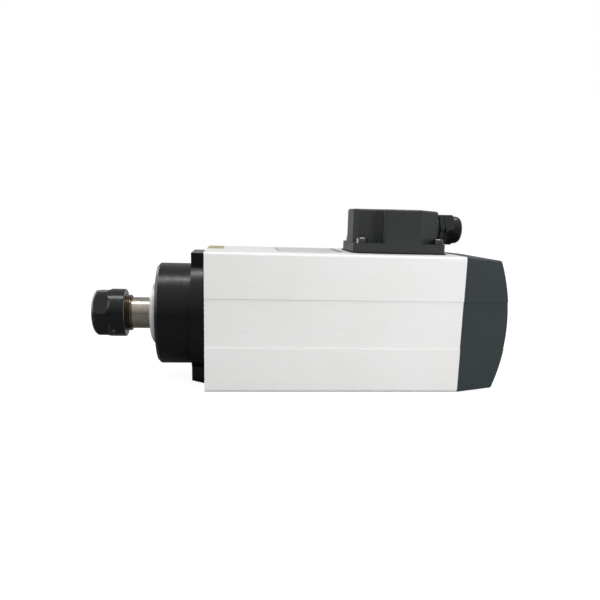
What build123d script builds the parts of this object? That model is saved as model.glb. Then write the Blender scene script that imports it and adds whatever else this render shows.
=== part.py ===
"""Square air-cooled motor spindle with an ER25 collet nose.

Millimetres, +Z up.  The spindle axis is the X axis and +X runs from the tool towards the fan.
The origin lies on the axis in the front face of the mounting flange, where the pilot boss ends.
"""
from build123d import *
from math import cos, radians, sin, sqrt, tan
import os

os.makedirs("parts", exist_ok=True)

# ---------------------------------------------------------------- fits
seat_gap = 0.02          # radial, pieces pressed or shrunk together
running_gap = 0.06       # radial, threads and tapers that slide on each other
guard_gap = 0.3          # between pieces that pass without touching
part_gap = 0.25          # winding bars inside their slots

# ---------------------------------------------------------------- housing extrusion
body_side = 116.0
body_length = 217.0
body_corner_r = 2.5
band_half = 20.4         # half height of the shallow recess along each flank
band_depth = 1.0
bore_wall = 8.0          # thinnest wall between bore and flank
duct_wall = 5.0          # duct to outside face
duct_inner_wall = 4.5    # bore to duct
duct_edge = 27.0         # ducts stay this far from both centre planes
duct_corner_r = 5.0
fin_pairs = 1            # cooling fins each side of the diagonal one
fin_angle = 9.0
fin_length = 9.0
fin_thickness = 1.8

# ---------------------------------------------------------------- front flange casting
boss_r = 44.6
boss_length = 30.1
boss_chamfer = 2.6
plate_inset = 6.5        # round plate inside the body's square
plate_thickness = 10.5
joint_step = 1.5         # set-back ring between plate and extrusion
joint_inset = 1.2
lug_half = 28.0
top_lug_inset = 2.8
bottom_lug_inset = 0.2
bottom_lug_draft = 2.5
spigot_length = 6.0
spigot_gap = 0.05
spigot_wall = 8.0
pocket_step = 3.0        # from the bearing shoulder back to the floor of the cast pocket

# ---------------------------------------------------------------- bearings
front_bore_d = 25.0
front_outer_d = 47.0
front_width = 12.0
rear_bore_d = 17.0
rear_outer_d = 35.0
rear_width = 10.0
bearing_pair = 2
race_share = 0.26        # ring thickness as a share of the bearing section
cap_thread_length = 6.5  # depth of the screwed front cap in the boss
shoulder_wall = 4.6      # wall behind the front bearings
shoulder_r = 20.5

# ---------------------------------------------------------------- front bearing cap
cap_thread_step = 1.5    # thread outside the bearing seat
cap_rim_step = 1.5
cap_rim_height = 3.9
cap_dome_height = 6.7
cap_dome_r = 17.5
pin_hole_r = 1.6
pin_hole_depth = 3.0
pin_holes = 4
pin_circle_r = 20.5

# ---------------------------------------------------------------- shaft
neck_step = 1.3          # shoulder in front of the bearings
neck_show = 17.4         # ground neck between the cap and the threaded collar
thread_r = 16.0          # M32 x 1.5 nose thread
thread_pitch = 1.5
thread_depth = 0.8
collar_show = 4.1        # threaded collar behind the closed nut
nose_set_back = 1.17     # from the start of the collet's long taper
bare_threads = 3         # grooves that show behind the closed nut
rotor_seat_step = 0.3    # rotor seat below the front journal
rear_shoulder = 2.0      # above the rear journal
rear_thread_step = 0.1
fan_seat_step = 0.4
shaft_tail = 2.0         # shaft past the fan circlip
shank_room_step = 0.65   # free bore wider than the collet's
shank_room = 16.0        # free bore behind the collet
centre_r = 3.0

# ---------------------------------------------------------------- collet and nut
taper_angle = 8.0
cone_angle = 30.0
collet_r = 13.0
collet_length = 34.0
collet_set_back = 1.0    # collet face behind the nut's
cone_height = 2.5
groove_depth = 1.7
groove_width = 2.2
collet_bore_r = 6.35
collet_slots = 8         # from each end
slot_width = 1.1
slot_bridge = 5.0        # metal left at the blind end of a slot
nut_r = 21.0
nut_length = 28.7
nut_flats = 38.0
nut_mouth_r = 10.3
nut_mouth = 0.6
nut_face_r = 13.5
nut_face_drop = 5.6      # the domed front falls back this far at the rim
nut_flat_length = 14.3   # from the front to where the middle of each flat runs out
nut_cutter_r = 25.0
nut_cutter_rise = 1.2    # run-out length for each mm of depth
nut_relief = 0.8         # clearance round the collet's rim
nose_room = 0.9          # between the shaft's end face and the nut's inner lip
lip_clear = 0.8          # lip above the floor of the collet's groove
lip_gap = 0.5            # between the lip and each wall of the collet's groove
nut_rear_chamfer = 0.8
balance_hole_r = 1.4
balance_hole_depth = 1.6
balance_hole_set = 9.9   # ahead of the nut's rear edge
balance_hole_angle = 42.0

# ---------------------------------------------------------------- stator and rotor
stack_length = 110.0
air_gap = 0.3
rotor_r = 30.0
slots = 24
slot_mouth = 2.0
slot_lip = 1.2
slot_inner_width = 4.4
slot_outer_width = 7.2
yoke = 6.5               # iron behind the slots
end_turn_length = 18.0
end_turn_clear = 2.5     # end turns outside the rotor
end_turn_room = 4.0      # and inside the housing bore
cage_bars = 20
bar_cover = 1.5          # iron over each bar
bar_depth = 5.0
bar_inner_width = 2.6
bar_outer_width = 4.2
end_ring_length = 8.0
end_ring_inner_r = 17.0
end_ring_inset = 1.0

# ---------------------------------------------------------------- lock nuts and spring
front_nut_wall = 4.5
front_nut_length = 7.0
rear_nut_wall = 3.6
rear_nut_length = 6.0
spanner_slots = 4
spanner_slot_width = 4.0
spanner_slot_depth = 1.8
spring_thickness = 0.8
spring_height = 2.6
spring_land = 3.6

# ---------------------------------------------------------------- rear bracket
bracket_spigot = 8.0
bracket_plate = 8.0
bracket_side_gap = 0.7   # disc inside the cover's recessed flanks
bracket_hub_wall = 6.5
bracket_rim_wall = 6.0
bracket_edge = 0.4       # metal outside the screw heads
rear_race_set = 12.0     # rear bearings ahead of the bracket's outer face
bracket_web = 1.0        # pocket floor ahead of the seating face

# ---------------------------------------------------------------- fan
fan_side_gap = 3.7       # fan to cover posts
fan_hub_r = 13.0
fan_gap = 6.0            # bracket to fan
fan_plate = 2.2
fan_width = 15.0
fan_blades = 9
blade_thickness = 2.0
blade_root_r = 17.0
blade_slope = 3.0        # blades are this much lower at the root
circlip_width = 1.2
circlip_r = 10.2
circlip_groove = 0.5
circlip_opening = 5.0

# ---------------------------------------------------------------- fan cover
cover_length = 42.3
cover_arc_drop = 10.5    # rear face falls back this far from middle to edge
cover_taper_y = 0.134
cover_taper_z = 0.0875
cover_wall = 3.0
cover_edge_r = 2.0
grille_rings = 4
grille_first_r = 9.0
grille_slot = 3.6
grille_pitch = 7.2
grille_spokes = 6
spoke_width = 4.0
post_inset = 25.0        # posts inside the body's flanks
post_r = 6.0
post_head_recess = 6.0   # below the rear surface at the post

# ---------------------------------------------------------------- terminal box
box_rear_margin = 12.0   # flange ahead of the body's rear end
box_length = 84.0
box_half = 34.0
box_flange_corner = 7.0
box_flange_height = 7.5
box_height = 36.2
box_wall = 3.0
box_front_step = 3.0
box_neck = 27.0          # length of the narrow front part
box_slope = 16.5         # length of the part that slopes in
box_rear_step = 6.0
box_left_half = 21.0
box_left_corner = 4.0
box_end_drop = 1.9
box_edge_r = 1.2
gasket_thickness = 1.0
gasket_margin = 1.2
spout_wall = 1.6
spout_length = 10.0
lock_nut_headroom = 1.2  # gland lock nut to the box roof
lock_nut_side_gap = 0.15
lead_hole_r = 7.0
lead_hole_set = 12.5     # ahead of the box's sloping part
lead_hole_clear = 3.0    # stator stack to the hole
lead_r = 1.3
lead_spacing = 4.2
lead_bend_r = 5.0

# ---------------------------------------------------------------- terminal block
block_end_gap = 4.0      # box wall to the block
block_side_gap = 1.0
block_hole_gap = 2.0     # block to the lead hole
block_height = 7.0
rib_height = 4.0
rib_thickness = 2.0
stud_rows = 2
stud_columns = 3
stud_pitch_x = 14.0
stud_r = 2.0
stud_height = 7.0
stud_nut_flats = 7.0
stud_nut_height = 3.2

# ---------------------------------------------------------------- cable gland
gland_thread_r = 10.0
gland_flats = 24.0
gland_hex = 5.0
gland_nut_gap = 0.4
gland_nut_hex = 6.4
gland_dome = 9.5
gland_dome_inset = 0.2
gland_tip_r = 8.2
gland_mouth_r = 6.5
gland_bore_r = 7.0
gland_sleeve_r = 9.4
gland_sleeve = 4.0
gland_lock_nut = 4.0
seal_bore_r = 5.0
seal_length = 12.0

# ---------------------------------------------------------------- fasteners
m5_r = 2.5
m5_core_r = 2.1         # thread core, and the tapping size
m5_clear_r = 2.75
m5_head_r = 4.25
m5_head = 5.0
m5_key = 4.0
m4_core_r = 1.65
m4_clear_r = 2.2
m4_head_r = 3.5
m4_head = 4.0
m4_key = 3.0
key_depth = 2.4
counterbore_gap = 0.35
flange_screw_y = 21.0
flange_screw_edge = 8.0
flange_screw_length = 18.0
tapped_depth = 14.0
box_screw_front = 12.0   # from the ends and sides of the box flange
box_screw_rear = 5.5
box_screw_side = 3.0
washer_r = 4.9
washer_thickness = 1.2
earth_screw_set = 6.0    # behind the lead hole
earth_screw_y = 20.0
mount_tap_r = 3.4        # M8 tapping size
mount_depth = 9.0
mount_spacing_x = 120.0
mount_spacing_y = 44.0

# ---------------------------------------------------------------- name plate
plate_gap = 1.8          # ahead of the box gasket
plate_length = 57.0
plate_width = 65.0
plate_centre_y = -2.5
plate_height = 0.5

# ---------------------------------------------------------------- places that follow from the sizes
half = body_side / 2
bore_r = half - bore_wall
body_front = plate_thickness + joint_step
body_rear = body_front + body_length
mount_centre_x = (body_front + body_rear) / 2

# front flange and its bearings
plate_r = half - plate_inset
top_lug = half - top_lug_inset
bottom_lug = half - bottom_lug_inset
flange_screw_z = half - flange_screw_edge
cavity_r = bore_r - spigot_wall
cap_seat = -boss_length
front_race_start = cap_seat + cap_thread_length
front_race_end = front_race_start + bearing_pair * front_width
cavity_floor = front_race_end + shoulder_wall + pocket_step
cap_thread_r = front_outer_d / 2 + cap_thread_step
cap_rim_r = cap_thread_r + cap_rim_step
cap_crown = cap_seat - cap_dome_height

# nose, nut and collet, counted forwards from the cap
neck_r = front_bore_d / 2 + neck_step
thread_tail = cap_crown - neck_show
nut_rear = thread_tail - collar_show
nut_front = nut_rear - nut_length
nut_flat_end = nut_front + nut_flat_length
balance_hole_x = nut_rear - balance_hole_set
collet_face = nut_front + collet_set_back
collet_face_r = collet_r - cone_height
groove_r = collet_r - groove_depth
lip_r = groove_r + lip_clear
nut_relief_r = collet_r + nut_relief
cone_end = collet_face + cone_height / tan(radians(cone_angle))
taper_start = cone_end + groove_width
collet_end = collet_face + collet_length
nose_end = taper_start + nose_set_back

# rear bracket, its bearings, fan and cover
bracket_rear = body_rear + bracket_plate
rear_race_end = bracket_rear - rear_race_set
rear_race_start = rear_race_end - bearing_pair * rear_width
rotor_seat_r = front_bore_d / 2 - rotor_seat_step
rear_shoulder_r = rear_bore_d / 2 + rear_shoulder
rear_thread_r = rear_bore_d / 2 - rear_thread_step
fan_seat_r = rear_thread_r - fan_seat_step
shank_room_r = collet_bore_r + shank_room_step
front_nut_r = front_bore_d / 2 + front_nut_wall
rear_nut_r = rear_thread_r + rear_nut_wall
bracket_r = half - cover_taper_y * bracket_plate - cover_wall - band_depth - bracket_side_gap
bracket_lug = half - cover_taper_z * bracket_plate - cover_wall - guard_gap
bracket_hub_r = rear_outer_d / 2 + bracket_hub_wall
bracket_rim_inner_r = bore_r - bracket_rim_wall
bracket_screw_z = bracket_lug - bracket_edge - m5_head_r - counterbore_gap
post_offset = half - post_inset
fan_r = sqrt(2) * post_offset - post_r - fan_side_gap
fan_front = bracket_rear + fan_gap
clip_start = fan_front + fan_width
shaft_end = clip_start + circlip_width + shaft_tail
cover_rear = body_rear + cover_length

# terminal box and gland
gasket_top = half + gasket_thickness
flange_top = gasket_top + box_flange_height
box_top = gasket_top + box_height
box_end = body_rear - box_rear_margin
box_start = box_end - box_length
box_left = box_start + box_front_step
box_step = box_left + box_neck
box_right = box_end - box_rear_step
box_shoulder = box_right - box_slope
box_right_half = gland_flats / sqrt(3) + lock_nut_side_gap + box_wall
box_screw_x = (box_start + box_screw_front, box_end - box_screw_rear)
box_screw_y = box_half - box_screw_side
spout_r = gland_thread_r + spout_wall
spout_end = box_right + spout_length
gland_height = box_top - box_wall - lock_nut_headroom - gland_flats / 2
gland_dome_r = gland_flats / 2 - gland_dome_inset
lead_hole_x = box_shoulder - lead_hole_set
earth_screw_x = lead_hole_x + earth_screw_set
block_start = box_left + box_wall + block_end_gap
block_length = lead_hole_x - lead_hole_r - block_hole_gap - block_start
block_x = block_start + block_length / 2
block_width = 2 * (box_left_half - box_wall - block_side_gap)
stud_pitch_y = (block_width - rib_thickness / 2) / stud_columns
plate_x = box_start - gasket_margin - plate_gap - plate_length

# stator and rotor, placed ahead of the lead hole
stack_end = lead_hole_x - lead_hole_r - lead_hole_clear
stator_start = stack_end - stack_length
end_turn_inner_r = rotor_r + end_turn_clear
end_turn_outer_r = bore_r - end_turn_room
slot_depth = bore_r - yoke - rotor_r - air_gap - slot_lip
bar_outer_r = rotor_r - bar_cover
bar_inner_r = bar_outer_r - bar_depth
end_ring_outer_r = rotor_r - end_ring_inset


# ---------------------------------------------------------------- shaping helpers
def turned(*outline):
    """Body turned about the spindle axis from (x, radius) corners."""
    return revolve(make_face(Polyline(*outline, close=True)), axis=Axis.X)


def rod(radius, start, end, y=0.0, z=0.0):
    """Round bar along X."""
    return Pos((start + end) / 2, y, z) * Rot(0, 90, 0) * Cylinder(radius, end - start)


def block(x0, x1, y0, y1, z0, z1):
    """Box between two corners."""
    return Pos((x0 + x1) / 2, (y0 + y1) / 2, (z0 + z1) / 2) * Box(x1 - x0, y1 - y0, z1 - z0)


def cross_section(x, sketch):
    """Place a sketch, drawn with Y across and Z up, square to the spindle axis."""
    return Plane.YZ.offset(x) * sketch


def along(x0, x1, sketch):
    """Extrude a cross section from x0 to x1."""
    return extrude(cross_section(x0, sketch), amount=x1 - x0)


def hex_bar(flats, x0, x1, y=0.0, z=0.0, turn=0.0):
    """Hexagonal bar along X; with no turn its flats face up and down."""
    outline = Rot(0, 0, turn) * RegularPolygon(flats / 2, 6, major_radius=False)
    return Pos(0, y, z) * along(x0, x1, outline)


def four_places(y, z):
    """The four mirror places of (y, z)."""
    return [(side * y, level * z) for side in (-1, 1) for level in (-1, 1)]


def cap_screw(radius, length, head_r, head, key):
    """Socket cap screw pointing down, with the seat of its head at the origin."""
    shank = Pos(0, 0, -length / 2) * Cylinder(radius, length)
    knob = Pos(0, 0, head / 2) * Cylinder(head_r, head)
    socket = Pos(0, 0, head - key_depth) * extrude(
        RegularPolygon(key / 2, 6, major_radius=False), amount=key_depth)
    return shank + knob - socket


def group(solids):
    """Several loose solids as one node."""
    return Compound(children=list(solids))


def save(shape, name):
    export_step(shape, f"parts/{name}.step")


# ---------------------------------------------------------------- housing extrusion
def duct_outline():
    """One corner air duct with its cooling fins, in the +Y +Z corner."""
    outer = half - duct_wall
    size = outer - duct_edge
    outline = Pos(duct_edge + size / 2, duct_edge + size / 2) * Rectangle(size, size)
    outline = fillet(outline.vertices().sort_by(lambda v: v.X + v.Y)[-1], duct_corner_r)
    inner_r = bore_r + duct_inner_wall
    outline -= Circle(inner_r)
    for step in range(-fin_pairs, fin_pairs + 1):
        fin = Pos(inner_r + fin_length / 2 - 1, 0) * Rectangle(fin_length + 2, fin_thickness)
        outline -= Rot(0, 0, 45 + step * fin_angle) * fin
    return outline


def body_extrusion():
    outline = RectangleRounded(body_side, body_side, body_corner_r) - Circle(bore_r)
    for side in (-1, 1):
        outline -= Pos(side * half, 0) * Rectangle(2 * band_depth, 2 * band_half)
    duct = duct_outline()
    for quarter in range(4):
        outline -= Rot(0, 0, 90 * quarter) * duct
    solid = along(body_front, body_rear, outline)
    for y, z in four_places(flange_screw_y, flange_screw_z):
        solid -= rod(m5_core_r, body_front, body_front + tapped_depth, y, z)
    for y, z in four_places(flange_screw_y, bracket_screw_z):
        solid -= rod(m5_core_r, body_rear - tapped_depth, body_rear, y, z)
    wall = half - sqrt(bore_r ** 2 - lead_hole_r ** 2) + 2
    solid -= Pos(lead_hole_x, 0, half - wall / 2) * Cylinder(lead_hole_r, wall)
    for place in box_places(half - duct_wall / 2):
        solid -= place * Cylinder(m5_core_r, duct_wall)
    earth_depth = duct_wall
    solid -= Pos(earth_screw_x, earth_screw_y, half - earth_depth / 2) * Cylinder(m4_core_r, earth_depth)
    for end in (-1, 1):
        for side in (-1, 1):
            x = mount_centre_x + end * mount_spacing_x / 2
            y = side * mount_spacing_y / 2
            solid -= Pos(x, y, -half + mount_depth / 2) * Cylinder(mount_tap_r, mount_depth)
    return solid


# ---------------------------------------------------------------- front flange
def lug_outline(inset):
    """Disc with an upright lug at top and bottom, drawn with Y across and Z up."""
    top = top_lug - inset
    bottom = bottom_lug - inset
    lugs = Pos(0, (top - bottom) / 2) * Rectangle(2 * (lug_half - inset), top + bottom)
    return Circle(plate_r - inset) + lugs


def front_flange():
    race_r = front_outer_d / 2
    boss = turned(
        (cap_seat, 0), (cap_seat, boss_r - boss_chamfer), (cap_seat + boss_chamfer, boss_r),
        (0, boss_r), (0, 0))
    plate = along(0, plate_thickness, lug_outline(0))
    draft = Plane.XZ * make_face(Polyline(
        (0, -bottom_lug - 1), (0, -bottom_lug + bottom_lug_draft),
        (plate_thickness, -bottom_lug), (plate_thickness, -bottom_lug - 1), close=True))
    plate -= extrude(draft, amount=lug_half + 1, both=True)
    step = along(plate_thickness, body_front, lug_outline(joint_inset))
    spigot = rod(bore_r - spigot_gap, body_front, body_front + spigot_length)
    solid = boss + plate + step + spigot
    pocket_end = body_front + spigot_length
    solid -= turned(
        (cap_seat, 0), (cap_seat, cap_thread_r + seat_gap), (front_race_start, cap_thread_r + seat_gap),
        (front_race_start, race_r + seat_gap), (front_race_end, race_r + seat_gap),
        (front_race_end, shoulder_r), (front_race_end + shoulder_wall, shoulder_r),
        (cavity_floor, shoulder_r + 4), (cavity_floor, cavity_r), (pocket_end, cavity_r), (pocket_end, 0))
    seat = plate_thickness / 2
    for y, z in four_places(flange_screw_y, flange_screw_z):
        solid -= rod(m5_clear_r, 0, body_front, y, z)
        solid -= rod(m5_head_r + counterbore_gap, 0, seat, y, z)
    return solid


def flange_screws():
    seat = plate_thickness / 2
    screw = Rot(0, -90, 0) * cap_screw(m5_core_r - seat_gap, flange_screw_length, m5_head_r, m5_head, m5_key)
    places = four_places(flange_screw_y, flange_screw_z)
    return group(Pos(seat, y, z) * screw for y, z in places)


# ---------------------------------------------------------------- front bearing cap
def front_bearing_cap():
    hole_r = neck_r + guard_gap
    rim = cap_seat - cap_rim_height
    crown = cap_crown
    bulge = (rim + crown) / 2 - 0.8
    edge_r = (cap_rim_r + cap_dome_r) / 2 + 0.6
    profile = Polyline((crown, cap_dome_r), (crown, hole_r), (front_race_start - 3.5, hole_r),
                       (front_race_start - 3.5, shoulder_r), (front_race_start, shoulder_r),
                       (front_race_start, cap_thread_r), (cap_seat, cap_thread_r),
                       (cap_seat, cap_rim_r), (rim, cap_rim_r))
    dome = ThreePointArc((rim, cap_rim_r), (bulge, edge_r), (crown, cap_dome_r))
    solid = revolve(make_face(profile + dome), axis=Axis.X)
    for turn in range(pin_holes):
        angle = radians(45 + turn * 360 / pin_holes)
        hole = rod(pin_hole_r, crown - 1, crown + pin_hole_depth,
                   pin_circle_r * cos(angle), pin_circle_r * sin(angle))
        solid -= hole
    return solid


# ---------------------------------------------------------------- bearings
def race_thickness(bore_d, outer_d):
    return race_share * (outer_d - bore_d) / 2


def bearing_places(start, width):
    return [start + place * width for place in range(bearing_pair)]


def outer_rings(start, width, bore_d, outer_d):
    inner = outer_d / 2 - race_thickness(bore_d, outer_d)
    return group(turned((x, inner), (x, outer_d / 2), (x + width, outer_d / 2), (x + width, inner))
                 for x in bearing_places(start, width))


def inner_rings(start, width, bore_d, outer_d):
    inner = bore_d / 2 + seat_gap
    outer = bore_d / 2 + race_thickness(bore_d, outer_d)
    return group(turned((x, inner), (x, outer), (x + width, outer), (x + width, inner))
                 for x in bearing_places(start, width))


def ball_cages(start, width, bore_d, outer_d):
    """One ring for each bearing, standing for its balls in their cage."""
    ring = race_thickness(bore_d, outer_d)
    inner = bore_d / 2 + ring + guard_gap
    outer = outer_d / 2 - ring - guard_gap
    edge = width / 6
    return group(turned((x + edge, inner + edge), (x + 2 * edge, inner), (x + 4 * edge, inner),
                        (x + 5 * edge, inner + edge), (x + 5 * edge, outer - edge), (x + 4 * edge, outer),
                        (x + 2 * edge, outer), (x + edge, outer - edge))
                 for x in bearing_places(start, width))


# ---------------------------------------------------------------- shaft
def taper_r(x, gap=0.0):
    """Radius of the collet's long taper at x."""
    return collet_r - (x - taper_start) * tan(radians(taper_angle)) + gap


def cone_r(x):
    """Radius of the collet's short front cone at x."""
    return collet_face_r + (x - collet_face) * tan(radians(cone_angle))


def shaft():
    front_journal = front_bore_d / 2
    rear_journal = rear_bore_d / 2
    front_nut_end = front_race_end + front_nut_length
    rear_nut_end = rear_race_end + rear_nut_length
    outline = [(nose_end, taper_r(nose_end, running_gap)), (nose_end, thread_r - 0.6),
               (nose_end + 0.6, thread_r)]
    first = nut_rear - 0.6
    for turn in range(bare_threads):
        root = first + turn * thread_pitch
        outline += [(root, thread_r), (root + thread_pitch / 2, thread_r - thread_depth)]
    outline += [
        (first + bare_threads * thread_pitch, thread_r), (thread_tail, thread_r),
        (thread_tail + 0.6, thread_r - 0.6), (thread_tail + 0.6, neck_r),
        (front_race_start, neck_r), (front_race_start, front_journal),
        (front_nut_end, front_journal), (front_nut_end, rotor_seat_r), (stack_end + 10, rotor_seat_r),
        (stack_end + 10, rear_shoulder_r), (rear_race_start, rear_shoulder_r),
        (rear_race_start, rear_journal), (rear_race_end, rear_journal),
        (rear_race_end, rear_thread_r), (rear_nut_end, rear_thread_r),
        (rear_nut_end, fan_seat_r), (clip_start, fan_seat_r), (clip_start, fan_seat_r - circlip_groove),
        (clip_start + circlip_width, fan_seat_r - circlip_groove),
        (clip_start + circlip_width, fan_seat_r),
        (shaft_end - 1, fan_seat_r), (shaft_end, fan_seat_r - 1), (shaft_end, centre_r),
        (shaft_end - centre_r, 0), (collet_end + shank_room + 4, 0), (collet_end + shank_room, shank_room_r),
        (collet_end + 1, shank_room_r), (collet_end + 1, taper_r(collet_end + 1, running_gap))]
    return turned(*outline)


# ---------------------------------------------------------------- collet
def collet():
    solid = turned(
        (collet_face, collet_bore_r), (collet_face, collet_face_r), (cone_end, collet_r),
        (cone_end, groove_r), (taper_start, groove_r), (taper_start, collet_r),
        (collet_end, taper_r(collet_end)), (collet_end, collet_bore_r))
    reach = 2 * collet_r + 2
    for cut in range(collet_slots // 2):
        turn = cut * 360 / collet_slots
        front = block(collet_face - 1, collet_end - slot_bridge, -slot_width / 2, slot_width / 2,
                      -reach / 2, reach / 2)
        rear = block(collet_face + slot_bridge, collet_end + 1, -slot_width / 2, slot_width / 2,
                     -reach / 2, reach / 2)
        solid -= Rot(turn, 0, 0) * front
        solid -= Rot(turn + 180 / collet_slots, 0, 0) * rear
    return solid


# ---------------------------------------------------------------- collet nut
def collet_nut():
    cone_gap = running_gap / cos(radians(cone_angle))
    seat_front = nut_front + nut_mouth
    seat_end = cone_end - 0.4
    mouth_r = cone_r(seat_front) + cone_gap
    lip_front = cone_end + lip_gap
    lip_rear = taper_start - lip_gap
    profile = Polyline(
        (nut_front, nut_face_r), (nut_front, max(nut_mouth_r, mouth_r)),
        (seat_front, mouth_r), (seat_end, cone_r(seat_end) + cone_gap),
        (seat_end, nut_relief_r), (lip_front, nut_relief_r), (lip_front, lip_r),
        (lip_rear, lip_r), (lip_rear, nut_relief_r), (nose_end - nose_room, nut_relief_r),
        (nose_end - nose_room, thread_r + running_gap),
        (nut_rear, thread_r + running_gap), (nut_rear, nut_r - nut_rear_chamfer),
        (nut_rear - nut_rear_chamfer, nut_r), (nut_front + nut_face_drop, nut_r))
    bulge_r = (nut_face_r + nut_r) / 2 + 0.9
    dome = ThreePointArc((nut_front + nut_face_drop, nut_r),
                         (nut_front + nut_face_drop * 0.32, bulge_r), (nut_front, nut_face_r))
    solid = revolve(make_face(profile + dome), axis=Axis.X)
    depth = nut_r - nut_flats / 2 + 1
    cutter = Pos(nut_flat_end - nut_cutter_r, 0, nut_flats / 2 + depth / 2) * Cone(
        nut_cutter_r, nut_cutter_r + nut_cutter_rise * depth, depth)
    for flat in range(6):
        solid -= Rot(60 * flat, 0, 0) * cutter
    depth = balance_hole_depth + 1
    drill = Pos(balance_hole_x, 0, nut_r + 1 - depth / 2) * Cylinder(balance_hole_r, depth)
    solid -= Rot(90 + balance_hole_angle, 0, 0) * drill
    return solid


# ---------------------------------------------------------------- stator
def spoke_shape(inner_r, outer_r, inner_width, outer_width):
    """Four-cornered shape along +Y for one slot or bar."""
    return make_face(Polyline((inner_r, -inner_width / 2), (outer_r, -outer_width / 2),
                              (outer_r, outer_width / 2), (inner_r, inner_width / 2), close=True))


def stator_core():
    inner_r = rotor_r + air_gap
    outline = Circle(bore_r - seat_gap) - Circle(inner_r)
    floor_r = inner_r + slot_lip
    slot = spoke_shape(floor_r, floor_r + slot_depth, slot_inner_width, slot_outer_width)
    slot = slot + Pos(inner_r, 0) * Rectangle(2 * slot_lip + 0.4, slot_mouth)
    for number in range(slots):
        outline -= Rot(0, 0, number * 360 / slots) * slot
    return along(stator_start, stack_end, outline)


def stator_windings():
    floor_r = rotor_r + air_gap + slot_lip
    bar = spoke_shape(floor_r + part_gap, floor_r + slot_depth - part_gap,
                      slot_inner_width - 2 * part_gap, slot_outer_width - 2 * part_gap)
    start = stator_start - part_gap
    end = stack_end + part_gap
    edge = 3.0
    solid = None
    for face, way in ((start, -1), (end, 1)):
        tip = face + way * end_turn_length
        coil = turned((face, end_turn_inner_r), (face, end_turn_outer_r - edge),
                      (face + way * edge, end_turn_outer_r), (tip - way * edge, end_turn_outer_r),
                      (tip, end_turn_outer_r - edge), (tip, end_turn_inner_r + edge),
                      (tip - way * edge, end_turn_inner_r))
        solid = coil if solid is None else solid + coil
    for number in range(slots):
        solid += along(start - 1, end + 1, Rot(0, 0, number * 360 / slots) * bar)
    return solid


# ---------------------------------------------------------------- rotor
def rotor_core():
    outline = Circle(rotor_r) - Circle(rotor_seat_r + seat_gap)
    bar = spoke_shape(bar_inner_r, bar_outer_r, bar_inner_width, bar_outer_width)
    for number in range(cage_bars):
        outline -= Rot(0, 0, number * 360 / cage_bars) * bar
    return along(stator_start, stack_end, outline)


def rotor_cage():
    bar = spoke_shape(bar_inner_r + seat_gap, bar_outer_r - seat_gap,
                      bar_inner_width - 2 * seat_gap, bar_outer_width - 2 * seat_gap)
    solid = None
    for face, way in ((stator_start, -1), (stack_end, 1)):
        tip = face + way * end_ring_length
        ring = turned((face, end_ring_inner_r), (face, end_ring_outer_r),
                      (tip, end_ring_outer_r - 1), (tip, end_ring_inner_r + 1))
        solid = ring if solid is None else solid + ring
    for number in range(cage_bars):
        solid += along(stator_start - 1, stack_end + 1, Rot(0, 0, number * 360 / cage_bars) * bar)
    return solid


def lock_nut(start, length, inner_r, outer_r):
    """Round nut with spanner slots in its rim."""
    outline = Circle(outer_r) - Circle(inner_r)
    for number in range(spanner_slots):
        notch = Pos(outer_r, 0) * Rectangle(2 * spanner_slot_depth, spanner_slot_width)
        outline -= Rot(0, 0, number * 360 / spanner_slots) * notch
    return along(start, start + length, outline)


# ---------------------------------------------------------------- rear bearing bracket
def rear_bracket():
    race_r = rear_outer_d / 2 + seat_gap
    rim_front = body_rear - bracket_spigot
    shoulder = rear_race_end + spring_height
    pocket = body_rear - bracket_web
    solid = turned(
        (rear_race_start - 2, race_r), (rear_race_start - 2, bracket_hub_r), (pocket - 4, bracket_hub_r),
        (pocket, bracket_hub_r + 4), (pocket, bracket_rim_inner_r), (rim_front, bracket_rim_inner_r),
        (rim_front, bore_r - spigot_gap), (body_rear, bore_r - spigot_gap), (body_rear, bracket_r),
        (bracket_rear, bracket_r), (bracket_rear, rear_nut_r + 2 * guard_gap),
        (shoulder, rear_nut_r + 2 * guard_gap), (shoulder, race_r))
    lugs = Rectangle(2 * lug_half, 2 * bracket_lug) - Circle(bracket_r - 2)
    solid += along(body_rear, bracket_rear, lugs)
    for y, z in four_places(flange_screw_y, bracket_screw_z):
        solid -= rod(m5_clear_r, body_rear - 1, bracket_rear, y, z)
        solid -= rod(m5_head_r + counterbore_gap, bracket_rear - m5_head, bracket_rear, y, z)
    for y, z in four_places(post_offset, post_offset):
        solid -= rod(m4_core_r, bracket_rear - bracket_plate, bracket_rear, y, z)
    return solid


def bracket_screws():
    seat = bracket_rear - m5_head
    length = flange_screw_length - 4
    screw = Rot(0, 90, 0) * cap_screw(m5_core_r - seat_gap, length, m5_head_r, m5_head, m5_key)
    places = four_places(flange_screw_y, bracket_screw_z)
    return group(Pos(seat, y, z) * screw for y, z in places)


def preload_spring():
    """Disc spring that loads the rear bearings."""
    outer = rear_outer_d / 2 - 0.3
    inner = outer - spring_land
    start = rear_race_end
    end = rear_race_end + spring_height
    return turned((start, outer), (start + spring_thickness, outer), (end, inner),
                  (end - spring_thickness, inner))


# ---------------------------------------------------------------- fan
def fan_impeller():
    plate_end = fan_front + fan_plate
    end = fan_front + fan_width
    solid = turned((fan_front, fan_seat_r + seat_gap), (fan_front, fan_r), (plate_end, fan_r),
                   (plate_end, fan_hub_r + 2), (plate_end + 2, fan_hub_r), (end, fan_hub_r - 1),
                   (end, fan_seat_r + seat_gap))
    blade = Plane.XY.offset(-blade_thickness / 2) * make_face(Polyline(
        (plate_end - 0.5, fan_hub_r - 2), (end - blade_slope, fan_hub_r - 2),
        (end - blade_slope, blade_root_r), (end, fan_r - 2), (end - 2, fan_r), (plate_end - 0.5, fan_r),
        close=True))
    blade = extrude(blade, amount=blade_thickness)
    for number in range(fan_blades):
        solid += Rot(number * 360 / fan_blades, 0, 0) * blade
    return solid


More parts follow.
